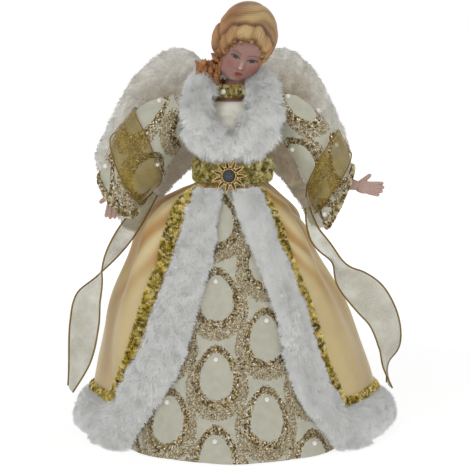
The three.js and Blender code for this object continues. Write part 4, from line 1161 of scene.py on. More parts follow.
# Brooch: an openwork star round the gem
paint("brooch_gem", gem_look)
BROOCH_RADIUS = 12.0
BROOCH_THICK = 1.6
BROOCH_CORE = 5.2
BROOCH_RAYS = 11
BROOCH_OFFSET = 2.4
BROOCH_DROP = 1.4
BROOCH_TILT = -6 * DEGREE
BROOCH_GOLD = colour(216, 186, 128)
BROOCH_DARK = colour(62, 44, 26)
RIM_WIRE, RIM_FORWARD = 0.45, 0.7
RAY_WIRE, RAY_HALF_WIDTH, RAY_FORWARD, RAY_RISE = 0.4, 1.15, 0.3, 0.4
SPINE_WIRE, SPINE_FORWARD = 0.36, 0.1
PLATE_BACK, PLATE_RISE = -0.2, 0.5
# Beads between the rays: distance from the middle, radius and brightness
BROOCH_BEADS = ((6.3, 0.85, 1.0), (8.3, 0.5, 1.3))
BEAD_FORWARD = 0.4
brooch_back = BELT_INNER + BELT_THICK * (1 + 1 / 6) + SEAT_GAP + BROOCH_THICK
brooch_middle = np.array([-BROOCH_OFFSET, -brooch_back, BELT_FOOT + BELT_HEIGHT / 2 - BROOCH_DROP])


def on_brooch(angle, distance, forward):
    """Places round the star's middle, forward being out of the belt."""
    angle, distance, forward = np.broadcast_arrays(angle, distance, forward)
    local = np.stack([distance * cos(angle), -forward, distance * sin(angle)], -1)
    return local @ turning("X", BROOCH_TILT).T + brooch_middle


def brooch_plate(u, v):
    return on_brooch(TURN * u, BROOCH_CORE * 1.12 * (1 - v), PLATE_BACK + PLATE_RISE * v)


brooch_shape = Shape().add(*grid(brooch_plate, 44, 4, looped=True), tone=BROOCH_DARK)
rim = on_brooch(linspace(0, TURN, 60), BROOCH_CORE * 0.86, RIM_FORWARD)
brooch_shape.add(*tube(rim, RIM_WIRE), tone=BROOCH_GOLD)
run = linspace(0, 1, 14)
reach = mix(BROOCH_CORE * 0.9, BROOCH_RADIUS, run)
half_turn = RAY_HALF_WIDTH * sin(pi * run**0.6) / reach
for ray in range(BROOCH_RAYS):
    middle_angle = TURN * ray / BROOCH_RAYS
    for aside in (-half_turn, half_turn):
        ray_line = on_brooch(middle_angle + aside, reach, RAY_FORWARD + RAY_RISE * sin(pi * run))
        brooch_shape.add(*tube(ray_line, RAY_WIRE), tone=BROOCH_GOLD)
    spine = on_brooch(middle_angle, reach[:-3], SPINE_FORWARD)
    brooch_shape.add(*tube(spine, SPINE_WIRE), tone=BROOCH_DARK)
    between = middle_angle + TURN / BROOCH_RAYS / 2
    for distance, radius, bright in BROOCH_BEADS:
        bead = ball(on_brooch(between, distance, BEAD_FORWARD), radius, 10, 6)
        brooch_shape.add(*bead, tone=BROOCH_GOLD * bright)
build("openwork_star", brooch_shape, "figure", star_look, ["brooch_star"])

# Head
HEAD_SIZE = 19.5
HEAD_OFFSET = (8.4, -5.0, 30.8)
HEAD_MIDDLE = np.array([0, 0, PLATE_TOP]) + HEAD_OFFSET
HEAD_PITCH, HEAD_ROLL, HEAD_TURN = 20 * DEGREE, 18 * DEGREE, -5 * DEGREE
HEAD_TILT = turning("Y", HEAD_ROLL) @ turning("X", HEAD_PITCH) @ turning("Z", HEAD_TURN)
NECK_RADIUS = 6.6
NECK_CURVE = 1.6
NECK_SINK = 4.0
# Up the head: its half width, and its depth in front and behind
HEAD_SHARES = [
    [-1, 0.24, 0.6, 0.1], [-0.93, 0.38, 0.71, 0.3], [-0.78, 0.52, 0.76, 0.5], [-0.58, 0.6, 0.77, 0.68],
    [-0.36, 0.66, 0.78, 0.8], [-0.12, 0.71, 0.78, 0.88], [0.12, 0.74, 0.79, 0.94], [0.38, 0.75, 0.81, 0.97],
    [0.62, 0.7, 0.73, 0.92], [0.82, 0.55, 0.55, 0.74], [0.95, 0.3, 0.29, 0.42],
]
FACE_SHIFT_SHARE = 0.09
LOWER_FACE_SHARE = 0.9
JAW_SHIFT_SHARE = 0.15
JAW_FULLNESS_SHARE = 0.14
# Relief of the face: across, up, half width, half height and rise; a row off the middle is on both sides
FACE_SHARES = [
    [0, -0.3, 0.085, 0.1, 0.15], [0, -0.1, 0.06, 0.18, 0.07], [0.1, -0.36, 0.05, 0.05, 0.04],
    [0.3, 0.04, 0.15, 0.1, -0.06], [0.3, 0.03, 0.1, 0.06, 0.05], [0.28, 0.22, 0.2, 0.07, 0.02],
    [0, -0.56, 0.13, 0.035, 0.07], [0, -0.67, 0.1, 0.04, 0.06], [0, -0.615, 0.12, 0.012, -0.03],
    [0, -0.9, 0.16, 0.1, 0.05], [0.36, -0.34, 0.16, 0.18, 0.03],
]
FACE_SHARES += [[-row[0], *row[1:]] for row in FACE_SHARES if row[0]]


def on_head(points):
    return points @ HEAD_TILT.T + HEAD_MIDDLE


def spot(across, up, middle, height, half_across, half_up):
    """A soft round patch: 1 at its middle, fading out with its half sizes."""
    return exp(-(((across - middle) / half_across) ** 2) - ((up - height) / half_up) ** 2)


def head_surface(u, v):
    up = mix(-1.0, 0.95, v)
    angle = TURN * u - 0.42 * sin(TURN * u)
    sine, cosine = sin(angle), cos(angle)
    jaw = JAW_FULLNESS_SHARE * exp(-(((up + 0.75) / 0.35) ** 2))
    across = (along(HEAD_SHARES, up, 1) + jaw) * sine
    depth = np.where(cosine > 0, along(HEAD_SHARES, up, 2), along(HEAD_SHARES, up, 3)) * cosine
    relief = sum(rise * spot(across - FACE_SHIFT_SHARE, up, *place) for *place, rise in FACE_SHARES)
    depth = depth + np.where(cosine > 0, relief * cosine, 0)
    shift = JAW_SHIFT_SHARE * smooth((-up - 0.15) / 0.85) * (cosine > -0.5)
    # The lower face is a little shorter in the looks than in the solid
    drawn_up = up * np.where(up < 0, LOWER_FACE_SHARE, 1)
    return np.stack([across - shift, -depth, drawn_up], -1) * HEAD_SIZE


SKIN = colour(148, 111, 101)
BLUSH = colour(150, 76, 74)
LIP = colour(138, 40, 44)
LIP_PAINTED_HIGHLIGHT = colour(180, 96, 96)
LIP_LINE = colour(96, 24, 28)
LASH = colour(34, 24, 22)
BROW = colour(84, 58, 46)
EYE_WHITE = colour(132, 116, 104)
EYE_SHADE = colour(104, 76, 68)
IRIS = colour(44, 34, 28)
NOSTRIL = colour(120, 66, 60)
FACE_PAINTED_SHADE = colour(112, 76, 68)
# Painted highlights and painted shade down the middle of the face, on and under the nose, under the lip and
# on the chin: their colour and strength, and where they are, as spot() takes it
FACE_LIGHT_AND_SHADE_SHARES = [
    (colour(196, 160, 150), 0.7, (0, -0.2, 0.05, 0.2)),
    (colour(226, 196, 186), 0.75, (0, -0.3, 0.055, 0.05)),
    (FACE_PAINTED_SHADE, 0.5, (0.11, -0.22, 0.045, 0.16)),
    (FACE_PAINTED_SHADE, 0.6, (0, -0.4, 0.1, 0.03)),
    (FACE_PAINTED_SHADE, 0.55, (0, -0.745, 0.12, 0.035)),
    (colour(186, 148, 138), 0.5, (0, -0.9, 0.13, 0.08)),
]
EYE_SHARE = 0.3
EYE_HALF_SHARE = 0.165
BROW_HALF_SHARE = 0.18
MOUTH_HALF_SHARE = 0.14


def near(value, middle, width, edge):
    """1 within width of the middle, with a soft edge."""
    return smooth((width - np.abs(value - middle)) / edge + 0.5)


def face_paint(local):
    """Colours of a calm doll's face from the place across and up it, with painted highlights and shade on
    its nose, lips and chin.
    """
    x, z = local[:, 0] / HEAD_SIZE - FACE_SHIFT_SHARE, local[:, 2] / HEAD_SIZE
    z = np.where(z < 0, z / LOWER_FACE_SHARE, z)
    front = smooth(-local[:, 1] / (0.3 * HEAD_SIZE))
    tone = np.tile(SKIN, (len(x), 1))

    def lay(target, amount):
        tone[:] = mix(tone, target, (clip(amount, 0, 1) * front)[:, None])

    for target, amount, place in FACE_LIGHT_AND_SHADE_SHARES:
        lay(target, amount * spot(x, z, *place))
    for out in (-x, x):
        lay(BLUSH, 0.6 * spot(out, z, 0.42, -0.32, 0.2, 0.2))
        aside = out - EYE_SHARE
        eye = aside / EYE_HALF_SHARE
        lid = 0.07 - 0.058 * eye**2
        floor_line = -0.046 + 0.04 * eye**2
        open_eye = smooth((lid - z) / 0.012 + 0.5) * smooth((z - floor_line) / 0.012 + 0.5)
        open_eye = open_eye * near(eye, 0, 1, 0.1)
        lay(EYE_SHADE, 0.5 * spot(eye, z, 0, 0.06, 1.1, 0.1))
        lay(EYE_WHITE, open_eye)
        lay(IRIS, open_eye * near(hypot(aside, z - 0.012), 0, 0.092, 0.02))
        lay(LASH, near(z, lid, 0.02, 0.018) * near(eye, 0, 1.1, 0.12))
        lay(LASH, 0.5 * near(z, floor_line, 0.008, 0.016) * near(eye, 0, 0.95, 0.2))
        brow_line = 0.24 - 0.05 * (aside / BROW_HALF_SHARE) ** 2 + 0.02 * aside
        lay(BROW, 0.85 * near(z, brow_line, 0.014, 0.024) * near(aside, 0, BROW_HALF_SHARE, 0.06))
        lay(NOSTRIL, 0.8 * spot(out, z, 0.065, -0.37, 0.025, 0.02))
    mouth = x / MOUTH_HALF_SHARE
    bow = 0.03 * exp(-(((np.abs(x) - 0.05) / 0.04) ** 2))
    upper = near(z, -0.565 + 0.3 * bow, 0.034 * (1 - np.abs(mouth) ** 1.6) + 0.004, 0.014)
    lower = near(z, -0.635, 0.042 * (1 - np.abs(mouth * 1.1) ** 2) + 0.002, 0.014)
    lay(LIP, 0.92 * np.maximum(upper * near(mouth, 0, 1, 0.15), lower * near(mouth, 0, 0.9, 0.15)))
    # A painted highlight on the lower lip.
    lay(LIP_PAINTED_HIGHLIGHT, 0.5 * spot(x, z, -0.02, -0.635, 0.05, 0.018))
    lay(LIP_LINE, 0.85 * near(z, -0.598, 0.009, 0.012) * near(mouth, 0, 0.95, 0.15))
    return tone


def plate_surface(u, v):
    return torso_point(TURN * u, mix(TORSO_TOP + SEAT_GAP, PLATE_TOP, v), 0)


CHIN_MIDDLE_SHARES = np.array([0, -0.3, -1.0])
CHIN_FULLNESS = 0.5


def chin_surface(u, v):
    ring = head_surface(u, 0 * v)
    drop = (0, 0, CHIN_FULLNESS) * (1 - v**2)[..., None]
    return on_head(mix(CHIN_MIDDLE_SHARES * HEAD_SIZE, ring, v[..., None]) - drop)


points, faces = grid(head_surface, 210, 190, looped=True)
head_shape = Shape().add(on_head(points), faces, tone=face_paint(points))
neck_in_head = on_head(np.array([0, 0.15, -0.62]) * HEAD_SIZE)
neck_foot = np.array([0, -NECK_CURVE, PLATE_TOP - NECK_SINK])
neck_bend = mix(neck_foot, neck_in_head, 0.5) + (-NECK_CURVE, 0, 0)
neck_path = row_at([neck_foot, neck_bend, neck_in_head], linspace(0, 1, 24))
# The neck is painted lighter than the skin: painted light against the shade under the head.
head_shape.add(*tube(neck_path, NECK_RADIUS, 40), tone=SKIN * 1.12)
head_shape.add(*grid(plate_surface, 60, 12, looped=True), tone=SKIN)
head_shape.add(*grid(chin_surface, 60, 6, looped=True), tone=SKIN)
build("doll_head", head_shape, "figure", skin_look, ["head_bust"])

# Hair
HAIR_ROLL = 12 * DEGREE
# Three ellipsoids that the hair goes over: their middles and half sizes
HAIR_SHARES = [
    [0.03, 0.15, 0.62, 1.04, 1.1, 1.15],
    [-0.76, 0.05, 0.32, 0.46, 0.5, 0.68],
    [0.1, 0.8, 0.1, 0.7, 0.62, 0.7],
]
HAIR_SHARPNESS = 18
FACE_OPENING_SHARES = np.array([0.14, -1.02, -0.25, 0.84, 0.86, 1.06])
HAIR_LIGHT = colour(198, 170, 116)
HAIR_GOLD = colour(176, 140, 90)
HAIR_GINGER = colour(170, 112, 60)
HAIR_PAINTED_SHADE = colour(92, 58, 32)
HAIR_PATCH = 4.0
FINE_HAIR_PATCH = 2.2
ROLL_SHARE = 0.56


def far_hit(ways, middle, halves):
    """How far along each way an ellipsoid's far side is, or 0 where the way misses it."""
    scaled_ways = ways / halves
    start = -middle / halves
    a = (scaled_ways**2).sum(-1)
    b = (scaled_ways * start).sum(-1)
    inside = b**2 - a * ((start**2).sum() - 1)
    return np.where(inside > 0, (-b + sqrt(np.maximum(inside, 0))) / a, 0)


def hair_ways(polar, swirl):
    """Ways out from the head's middle, by their angle from the face and round it."""
    forward = unit(FACE_OPENING_SHARES[:3])
    up = unit(np.array([0, 0, 1.0]) - forward[2] * forward)
    away = sin(polar)[..., None]
    level = cos(swirl)[..., None] * up + sin(swirl)[..., None] * cross(forward, up)
    return cos(polar)[..., None] * forward + away * level


def hair_surface(u, v):
    """The rolled hair: locks run back from the face over the roll, and across behind it."""
    polar = mix(18 * DEGREE, 179 * DEGREE, v**0.9)
    swirl = TURN * u
    ways = hair_ways(polar, swirl)
    turned = ways @ turning("Y", HAIR_ROLL).T
    hits = [far_hit(turned, row[:3], row[3:]) for row in np.array(HAIR_SHARES)]
    hits = np.sort(np.maximum(hits, 1e-3), axis=0)
    radius = (hits**HAIR_SHARPNESS).sum(0) ** (1 / HAIR_SHARPNESS)
    parting = exp(-(((hits[-1] - hits[-2]) / 0.055) ** 2))
    edge_wave = 0.035 * sin(9 * swirl) + 0.025 * sin(17 * swirl + 1)
    off = (ways * radius[..., None] - FACE_OPENING_SHARES[:3]) / FACE_OPENING_SHARES[3:]
    reach = np.linalg.norm(off, axis=-1) + edge_wave
    past_roll = reach - 1 - ROLL_SHARE
    above = cos(swirl) > -0.1
    swell = sin(pi * clip((reach - 1) / ROLL_SHARE, 0, 1)) ** 0.6
    hollow = exp(-((past_roll / 0.075) ** 2)) * above
    crossed = smooth(past_roll / 0.12) * above
    wave = 0.35 * sin(3.2 * polar + 2 * swirl) + 0.25 * sin(6 * polar - swirl)
    uneven = 0.6 * sin(3 * swirl + 1.3) + 0.4 * sin(7 * swirl)
    uneven = uneven + 0.9 * wander(ways * HEAD_SIZE, HAIR_PATCH, 34)
    along_lock = np.abs(sin(8.5 * swirl + 3.2 * wave + uneven))
    across_lock = np.abs(sin(7.5 * reach + 1.3 * sin(2 * swirl + 0.4) + 0.5 * sin(5 * swirl)))
    lock = mix(along_lock, across_lock, crossed)
    strand = 10 * wave + 5 * uneven + 3 * wander(ways * HEAD_SIZE, FINE_HAIR_PATCH, 35)
    across_fine = np.abs(sin(38 * reach + 4 * sin(2 * swirl) + 2 * sin(9 * swirl)))
    fine = mix(np.abs(sin(46 * swirl + strand)), across_fine, crossed)
    relief = 0.03 * (lock**0.6 - 0.75) + 0.014 * (fine - 0.6)
    relief = relief + 0.035 * swell - 0.05 * (hollow + parting)
    full = radius + relief * smooth((reach - 1.0) / 0.12)
    made = mix(0.55, full, smooth((reach - 0.985) / 0.1))
    # The shade value: the stripes of the locks and strands, painted highlight on the swell of the roll, and
    # painted shade at the hairline, in the hollow behind the roll and in the parting.
    shade = 0.05 + 0.3 * lock + 0.25 * fine + 0.4 * swell * above + 0.22 * crossed
    shade = shade + 0.14 * wander(ways * HEAD_SIZE, HAIR_PATCH, 33)
    shade = shade * smooth((reach - 0.98) / 0.14) * (1 - 0.6 * hollow) * (1 - 0.8 * parting)
    return (ways * (made * HEAD_SIZE)[..., None]).reshape(-1, 3), clip(shade, 0, 1).ravel()


columns, rows = ((600, 170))
hair_points, hair_shade = hair_surface(*spread(columns, rows, looped=True))
shade = hair_shade[:, None]
aside = smooth((np.abs(hair_points[:, :1] / HEAD_SIZE - 0.1) - 0.35) / 0.5)
low = smooth((0.5 - hair_points[:, 2:] / HEAD_SIZE) / 0.8)
# Painted shade where the shade value is low, painted highlight where it is high.
hair_tone = mix(HAIR_PAINTED_SHADE, HAIR_GOLD, smooth(1.25 * shade))
hair_tone = mix(hair_tone, HAIR_LIGHT, smooth((shade - 0.55) / 0.4))
# The sides and the lower hair are redder, and darker as painted shade.
hair_tone = mix(hair_tone, HAIR_GINGER * (0.35 + 0.75 * shade), 0.75 * np.maximum(aside, low))
hair_shape = Shape().add(on_head(hair_points), quads(rows, columns, looped=True), tone=hair_tone)


def curl(start, end, radius, coils, phase, sides=26, steps=60):
    """A sausage curl with a spiral groove, from one point to another."""
    share = linspace(0, 1, steps)[:, None]
    way = unit(end - start)
    first = unit(cross(way, (0.2, 1, 0.1)))
    second = cross(way, first)
    angle = linspace(0, TURN, sides + 1)[:-1]
    turns = pi * coils * (share + 0.12 * sin(9 * share + phase))
    groove = np.abs(sin(turns + angle / 2 + phase))
    reach = radius * sin(pi * clip(share, 0.02, 0.98)) ** 0.45 * (0.78 + 0.26 * groove**0.7)
    path = mix(start, end, share) + first * 0.18 * radius * sin(pi * coils * share)
    ring = first * cos(angle)[:, None] + second * sin(angle)[:, None]
    made = path[:, None] + reach[..., None] * ring
    return made.reshape(-1, 3), quads(steps - 1, sides, looped=True), groove.reshape(-1, 1)


def add_curl(start, end, radius, coils, phase, tone, shade, place=np.asarray):
    """A curl from the deep colour in its groove, as painted shade, to a tone; shade is the tone's least
    share and the rest.
    """
    curl_points, curl_faces, groove = curl(start, end, radius, coils, phase)
    hair_shape.add(place(curl_points), curl_faces, tone=mix(HAIR_PAINTED_SHADE, tone, shade[0] + shade[1] * groove))


# Ringlets in a bunch beside the face. A new row goes to the end, as all draw from one seed
RINGLET_SHARES = [
    [-0.88, 0.3, -0.3], [-1.14, 0.1, -0.48], [-0.83, -0.05, -0.6], [-1.34, 0.05, -0.7],
    [-1.04, -0.2, -0.83], [-0.88, 0.4, -1.22], [-1.08, 0.45, -1.42], [-1.56, 0.1, -0.64],
    [-1.38, 0.14, -0.56], [-1.2, 0.1, -0.72],
]
RINGLET_SPREAD = (2.0, 1.6, 1.8)
CURLS_EACH = 7
CURL_RADIUS = 1.9
COILS_PER_MM = 0.62
own = np.random.default_rng(17)
for row in RINGLET_SHARES:
    for _ in range(CURLS_EACH):
        middle = HEAD_MIDDLE + np.array(row) * HEAD_SIZE + own.normal(size=3) * RINGLET_SPREAD
        lean = unit(np.array([own.normal() * 0.5, own.normal() * 0.3, 1.0]))
        size = CURL_RADIUS * (0.75 + 0.5 * own.random())
        half = size * (2.0 + 1.4 * own.random())
        add_curl(
            middle + lean * half, middle - lean * half, size, COILS_PER_MM * half, own.random() * 3,
            HAIR_GINGER * (0.85 + 0.4 * own.random()), (0.25, 0.75),
        )

# Curls that hang behind the left end of the choker: they start at its foot and go up and back
NAPE_CURLS = 14
NAPE_FOOT = np.array([-9.6, 3.2, 228.0])
NAPE_STEP_ASIDE = 0.5
NAPE_STEP_UP = 0.75
NAPE_STRAY = 0.6
NAPE_CURL_HALF = 4.2
NAPE_CURL_RADIUS = 1.7
NAPE_CURL_COILS = 2.4
for k in range(NAPE_CURLS):
    middle = NAPE_FOOT + (-NAPE_STEP_ASIDE * (k % 4), NAPE_STRAY * own.random(), NAPE_STEP_UP * k)
    half = unit(np.array([own.normal() * 0.25, 0.1, 1.0])) * NAPE_CURL_HALF
    add_curl(
        middle + half, middle - half, NAPE_CURL_RADIUS, NAPE_CURL_COILS, own.random() * 3,
        HAIR_GINGER * 0.85, (0.2, 0.7),
    )

# Small curls that fall over the hairline, from one temple to the other
HAIRLINE_CURLS = 22
HAIRLINE_SPAN = 112 * DEGREE
HAIRLINE_RADIUS = 1.25
HAIRLINE_VARIETY = 0.8
HAIRLINE_FORWARD = 0.4
HAIRLINE_COILS = 1.5
hairline_rows = (hair_shade.reshape(rows + 1, columns) > 0.12).argmax(0)
for k in range(HAIRLINE_CURLS):
    swirl = mix(-HAIRLINE_SPAN, HAIRLINE_SPAN, (k + 0.6 * own.random()) / HAIRLINE_CURLS)
    column = int(round(swirl / TURN * columns)) % columns
    root = hair_points[hairline_rows[column] * columns + column]
    inward = unit(np.array([0, 0, -0.25 * HEAD_SIZE]) - root * (1, 0, 1))
    size = HAIRLINE_RADIUS + HAIRLINE_VARIETY * own.random()
    start = root * 1.03 - inward * size * 1.2
    fall = unit(inward + own.normal(size=3) * (0.45, 0.05, 0.45)) * size * (2.2 + 1.6 * own.random())
    add_curl(
        start, start + fall + (0, -HAIRLINE_FORWARD, 0), size, HAIRLINE_COILS, own.random() * 3,
        mix(HAIR_GINGER, HAIR_LIGHT, 0.7 * own.random()), (0.2, 0.8), on_head,
    )
build("rolled_hair", hair_shape, "figure", hair_look, ["moulded_hair"])

# Neck braid and pearl
NECK_BRAID_HEIGHT = 8.0
NECK_BRAID_THICK = 3.8
NECK_BRAID_STAND = 1.0
NECK_BRAID_EDGE = 0.3
neck_axis = np.array([0, -NECK_CURVE, 0])


def neck_braid(u, v):
    rise = bulged(u) * (NECK_BRAID_THICK - NECK_BRAID_STAND)
    up = PLATE_TOP + SEAT_GAP + mix(NECK_BRAID_EDGE, NECK_BRAID_HEIGHT - NECK_BRAID_EDGE, u)
    return around(TURN * v, NECK_RADIUS + rise, up) + neck_axis


tinsel_piece(
    "tinsel_choker", outward(*grid(neck_braid, 8, 80), neck_axis), "figure", ["neck_braid"], 6500, 150,
    BRIGHT_GOLD * 0.66,
)
paint("neck_pearl", pearl_look)

# Arms
ARM_REACH = 50.0
SLEEVE_LENGTH = 80.0
SLEEVE_HOLE = 8.4
SLEEVE_ROWS = 9
SLEEVE_INSET = 0.6
WRINKLE_DEPTH = 0.45
CROSSING_DEPTH = 0.3
CUFF_BRAID_WIDTH = 4.0
CUFF_BRAID_EDGE = 0.6
# Down the sleeve: its top's place across and up, its foot's, its middle's ahead, its depth and its droop
SLEEVE_SHARES = {
    "left": [
        [0.16, 0.29, -0.12, -0.3, 0, 0.3, 0], [0.54, 0.14, 0.1, -0.6, 0.08, 0.32, 0],
        [0.84, -0.18, 0.22, -0.84, 0.22, 0.34, 0.02], [1.04, -0.56, 0.4, -1, 0.38, 0.34, 0.08],
        [1.08, -0.84, 0.6, -1.28, 0.54, 0.28, 0.16],
    ],
    "right": [
        [0.16, 0.29, -0.12, -0.3, 0, 0.3, 0], [0.48, 0.04, 0.08, -0.54, 0.08, 0.32, 0],
        [0.72, -0.22, 0.24, -0.88, 0.2, 0.34, 0], [0.86, -0.46, 0.36, -1.2, 0.34, 0.32, 0.02],
        [0.92, -0.72, 0.58, -1.5, 0.48, 0.26, 0.04],
    ],
}
BALL_RINGS = [math.asin(SLEEVE_HOLE / SHOULDER_RADIUS), 0.62 * pi / 2, 0.95 * pi / 2]


def from_shoulder(side, across, ahead, up, size):
    """A place by its shares of a size, measured from the shoulder."""
    return np.stack(
        [side * (SHOULDER_HALF_WIDTH + across * size), -ahead * size, SHOULDER_UP + up * size], -1
    )


def sleeve_point(name, u, v, out=0.0):
    """The sleeve starts as a part of the shoulder's ball and goes on as a bell of tilted ovals."""
    side = SIDES[name]
    u, v, out = np.broadcast_arrays(np.asarray(u, float), v, out)
    cosine, sine = cos(TURN * u), sin(TURN * u)
    place = v * SLEEVE_ROWS
    last = len(BALL_RINGS) - 1
    angle = np.interp(place, range(last + 1), BALL_RINGS)
    radius = SHOULDER_RADIUS + out
    ring = radius * sin(angle)
    across = side * (SHOULDER_HALF_WIDTH - radius * cos(angle))
    on_ball = np.stack([across, -ring * sine, SHOULDER_UP + ring * cosine], -1)
    row = row_at(SLEEVE_SHARES[name], clip((place - last - 1) / (SLEEVE_ROWS - last - 1), 0, 1))
    top = from_shoulder(side, row[..., 0], row[..., 4], row[..., 1], ARM_REACH)
    low = from_shoulder(side, row[..., 2], row[..., 4], row[..., 3], ARM_REACH)
    middle = (top + low) / 2
    half = top - middle
    long = np.linalg.norm(half, axis=-1, keepdims=True)
    half = half / long * (long + out[..., None])
    front = np.stack([0 * out, -(row[..., 5] * ARM_REACH + out), -row[..., 6] * ARM_REACH], -1)
    on_arm = middle + half * cosine[..., None] + front * sine[..., None]
    return mix(on_ball, on_arm, clip(place - last, 0, 1)[..., None])


RIBBON_THICK = 0.6
RIBBON_WIDTH = 25.0
RIBBON_LIFT = 1.2
RIBBON_DROP = 125.0
RIBBON_WALL = 0.25
RIBBON_WIRE = {"wrap": 0.42, "tail": 0.6}
WRAP_RIPPLE = 0.2
PLEAT_RIPPLE = 0.3
TAIL_RIPPLE = 0.9
# Along the wrap: round the sleeve, down it, and its share of the full width
WRAP_SHARES = {
    "left": [
        [-0.06, 0.61, 0.5], [0.1, 0.65, 0.68], [0.25, 0.7, 0.88], [0.4, 0.775, 0.8], [0.49, 0.83, 0.35],
    ],
    "right": [
        [-0.06, 0.76, 0.6], [0.1, 0.77, 0.75], [0.25, 0.77, 0.72], [0.4, 0.79, 0.55], [0.49, 0.82, 0.35],
    ],
}
# Down the tail: across, ahead and up from the shoulder, half width, and twist in degrees
TAIL_SHARES = {
    "left": [
        [0, 0, 0, 0.014, 0], [0.25, 0.13, -0.57, 0.045, 10], [0.36, 0.14, -0.73, 0.06, 50],
        [0.44, 0.17, -0.86, 0.07, 95], [0.5, 0.24, -0.98, 0.08, 150], [0.52, 0.26, -1.12, 0.082, 168],
        [0.545, 0.28, -1.3, 0.076, 150], [0.6, 0.28, -1.48, 0.055, 112],
    ],
    "right": [
        [0, 0, 0, 0.012, 0], [0.165, 0.19, -0.64, 0.035, 0], [0.28, 0.19, -0.78, 0.055, -60],
        [0.36, 0.17, -0.89, 0.085, -20], [0.47, 0.155, -1, 0.1, 5], [0.55, 0.145, -1.12, 0.085, 10],
        [0.585, 0.14, -1.26, 0.075, 30], [0.57, 0.13, -1.38, 0.065, 70], [0.59, 0.12, -1.5, 0.055, 100],
    ],
}
SLEEVE_MIDDLE = {"left": (-19.6, -60.6), "right": (16.1, -70.3)}
SLEEVE_PATTERN_SHARES = np.array([0.92, 0.66])
SLEEVE_PEARLS_BACK = 5.0
HAND_WELD = 0.02
HAND_PLUMP = 0.55
HAND_CELL = 0.35


def bell_sleeve(name, side, body):
    def surface(u, v):
        wrinkle = sin(TURN * 7 * u + 9 * v + 2 * sin(TURN * 2 * u)) * smooth((v - 0.25) / 0.4)
        crossing = sin(26 * v + 3 * sin(TURN * u * 2)) * smooth((v - 0.1) / 0.2) * smooth((0.95 - v) / 0.2)
        return sleeve_point(name, u, v, -SLEEVE_INSET - WRINKLE_DEPTH * wrinkle - CROSSING_DEPTH * crossing)

    columns, rows = ((300, 200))
    points, faces = grid(surface, columns, rows, looped=True)
    across, down = (values.ravel() for values in spread(columns, rows, looped=True))
    normals = point_normals(points, faces)
    rings = points.reshape(rows + 1, columns, 3)
    if (normals * (points - np.repeat(rings.mean(1), columns, 0))).sum() < 0:
        faces, normals = faces[:, ::-1], -normals
    girths = np.linalg.norm(np.diff(rings, axis=1), axis=-1).sum(1)
    flat = np.column_stack([(across - 0.25) * np.repeat(girths, columns), -down * SLEEVE_LENGTH])
    middle = np.array(SLEEVE_MIDDLE[name])
    tones = glitter_shares(flat, middle, SLEEVE_PATTERN_SHARES)
    tones = mix(tones, np.array([0.7, 0.95, 0]), smooth((down - 0.93) / 0.02)[:, None])
    sleeve = build(
        f"bell_sleeve_{name}", Shape().add(points, faces, tone=tones), body, cloth_look,
        [f"sleeve_{name}"], wall=CLOTH_WALL,
    )
    pearls(
        f"sleeve_pearls_{name}", body, points, normals, flat, middle,
        lambda place: place[1] < SLEEVE_PEARLS_BACK, SLEEVE_PATTERN_SHARES,
    )
    return sleeve


def cuff_braid(name, side, body):
    def surface(u, v):
        down = 1 - CUFF_BRAID_WIDTH / SLEEVE_LENGTH * (1 - u)
        return sleeve_point(name, v, down, SEAT_GAP + crown(u, BRAID_THICK, BRAID_EDGE) - CUFF_BRAID_EDGE)

    points, faces = grid(surface, 6, 160)
    tinsel_piece(
        f"tinsel_cuff_{name}", outward(points, faces, points.mean(0)), body, [f"cuff_braid_{name}"], 9000,
        160 + side, PALE_GOLD, CUFF_SLIVER_LENGTH,
    )


def cast_hand(name):
    """The CAD's hand, rounded off as a casting is."""
    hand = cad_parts[f"hand_{name}"]
    paint(f"hand_{name}", hand_look)
    modify(hand, "weld", "WELD", merge_threshold=HAND_WELD * MM)
    modify(hand, "plump", "DISPLACE", strength=HAND_PLUMP * MM, mid_level=0)
    modify(hand, "fine", "REMESH", mode="VOXEL", voxel_size=HAND_CELL * MM)
    modify(hand, "soften", "SMOOTH", factor=0.5, iterations=3)


def pleats(u, v):
    """Long soft folds of the ribbon."""
    return sin(TURN * (2.3 * u + 0.5 * v) + 1.5 * sin(TURN * 0.8 * v)) * sin(TURN * (0.9 * u + v))


def ribbon(kind, name, surface, body, look, columns, rows, edge_steps, tones=(1, 1, 1)):
    """A length of ribbon and the wires in its two edges."""
    sheet = build(
        f"organza_{kind}_{name}", Shape().add(*grid(surface, columns, rows), tone=tones), body, look,
        [f"ribbon_{kind}_{name}"], wall=RIBBON_WALL,
    )
    v = linspace(0, 1, edge_steps)
    edges = Shape()
    for u in (0.0, 1.0):
        edges.add(*tube(surface(np.full_like(v, u), v), RIBBON_WIRE[kind], 8))
    return sheet, build(f"{kind}_wire_{name}", edges, body, edge_look)


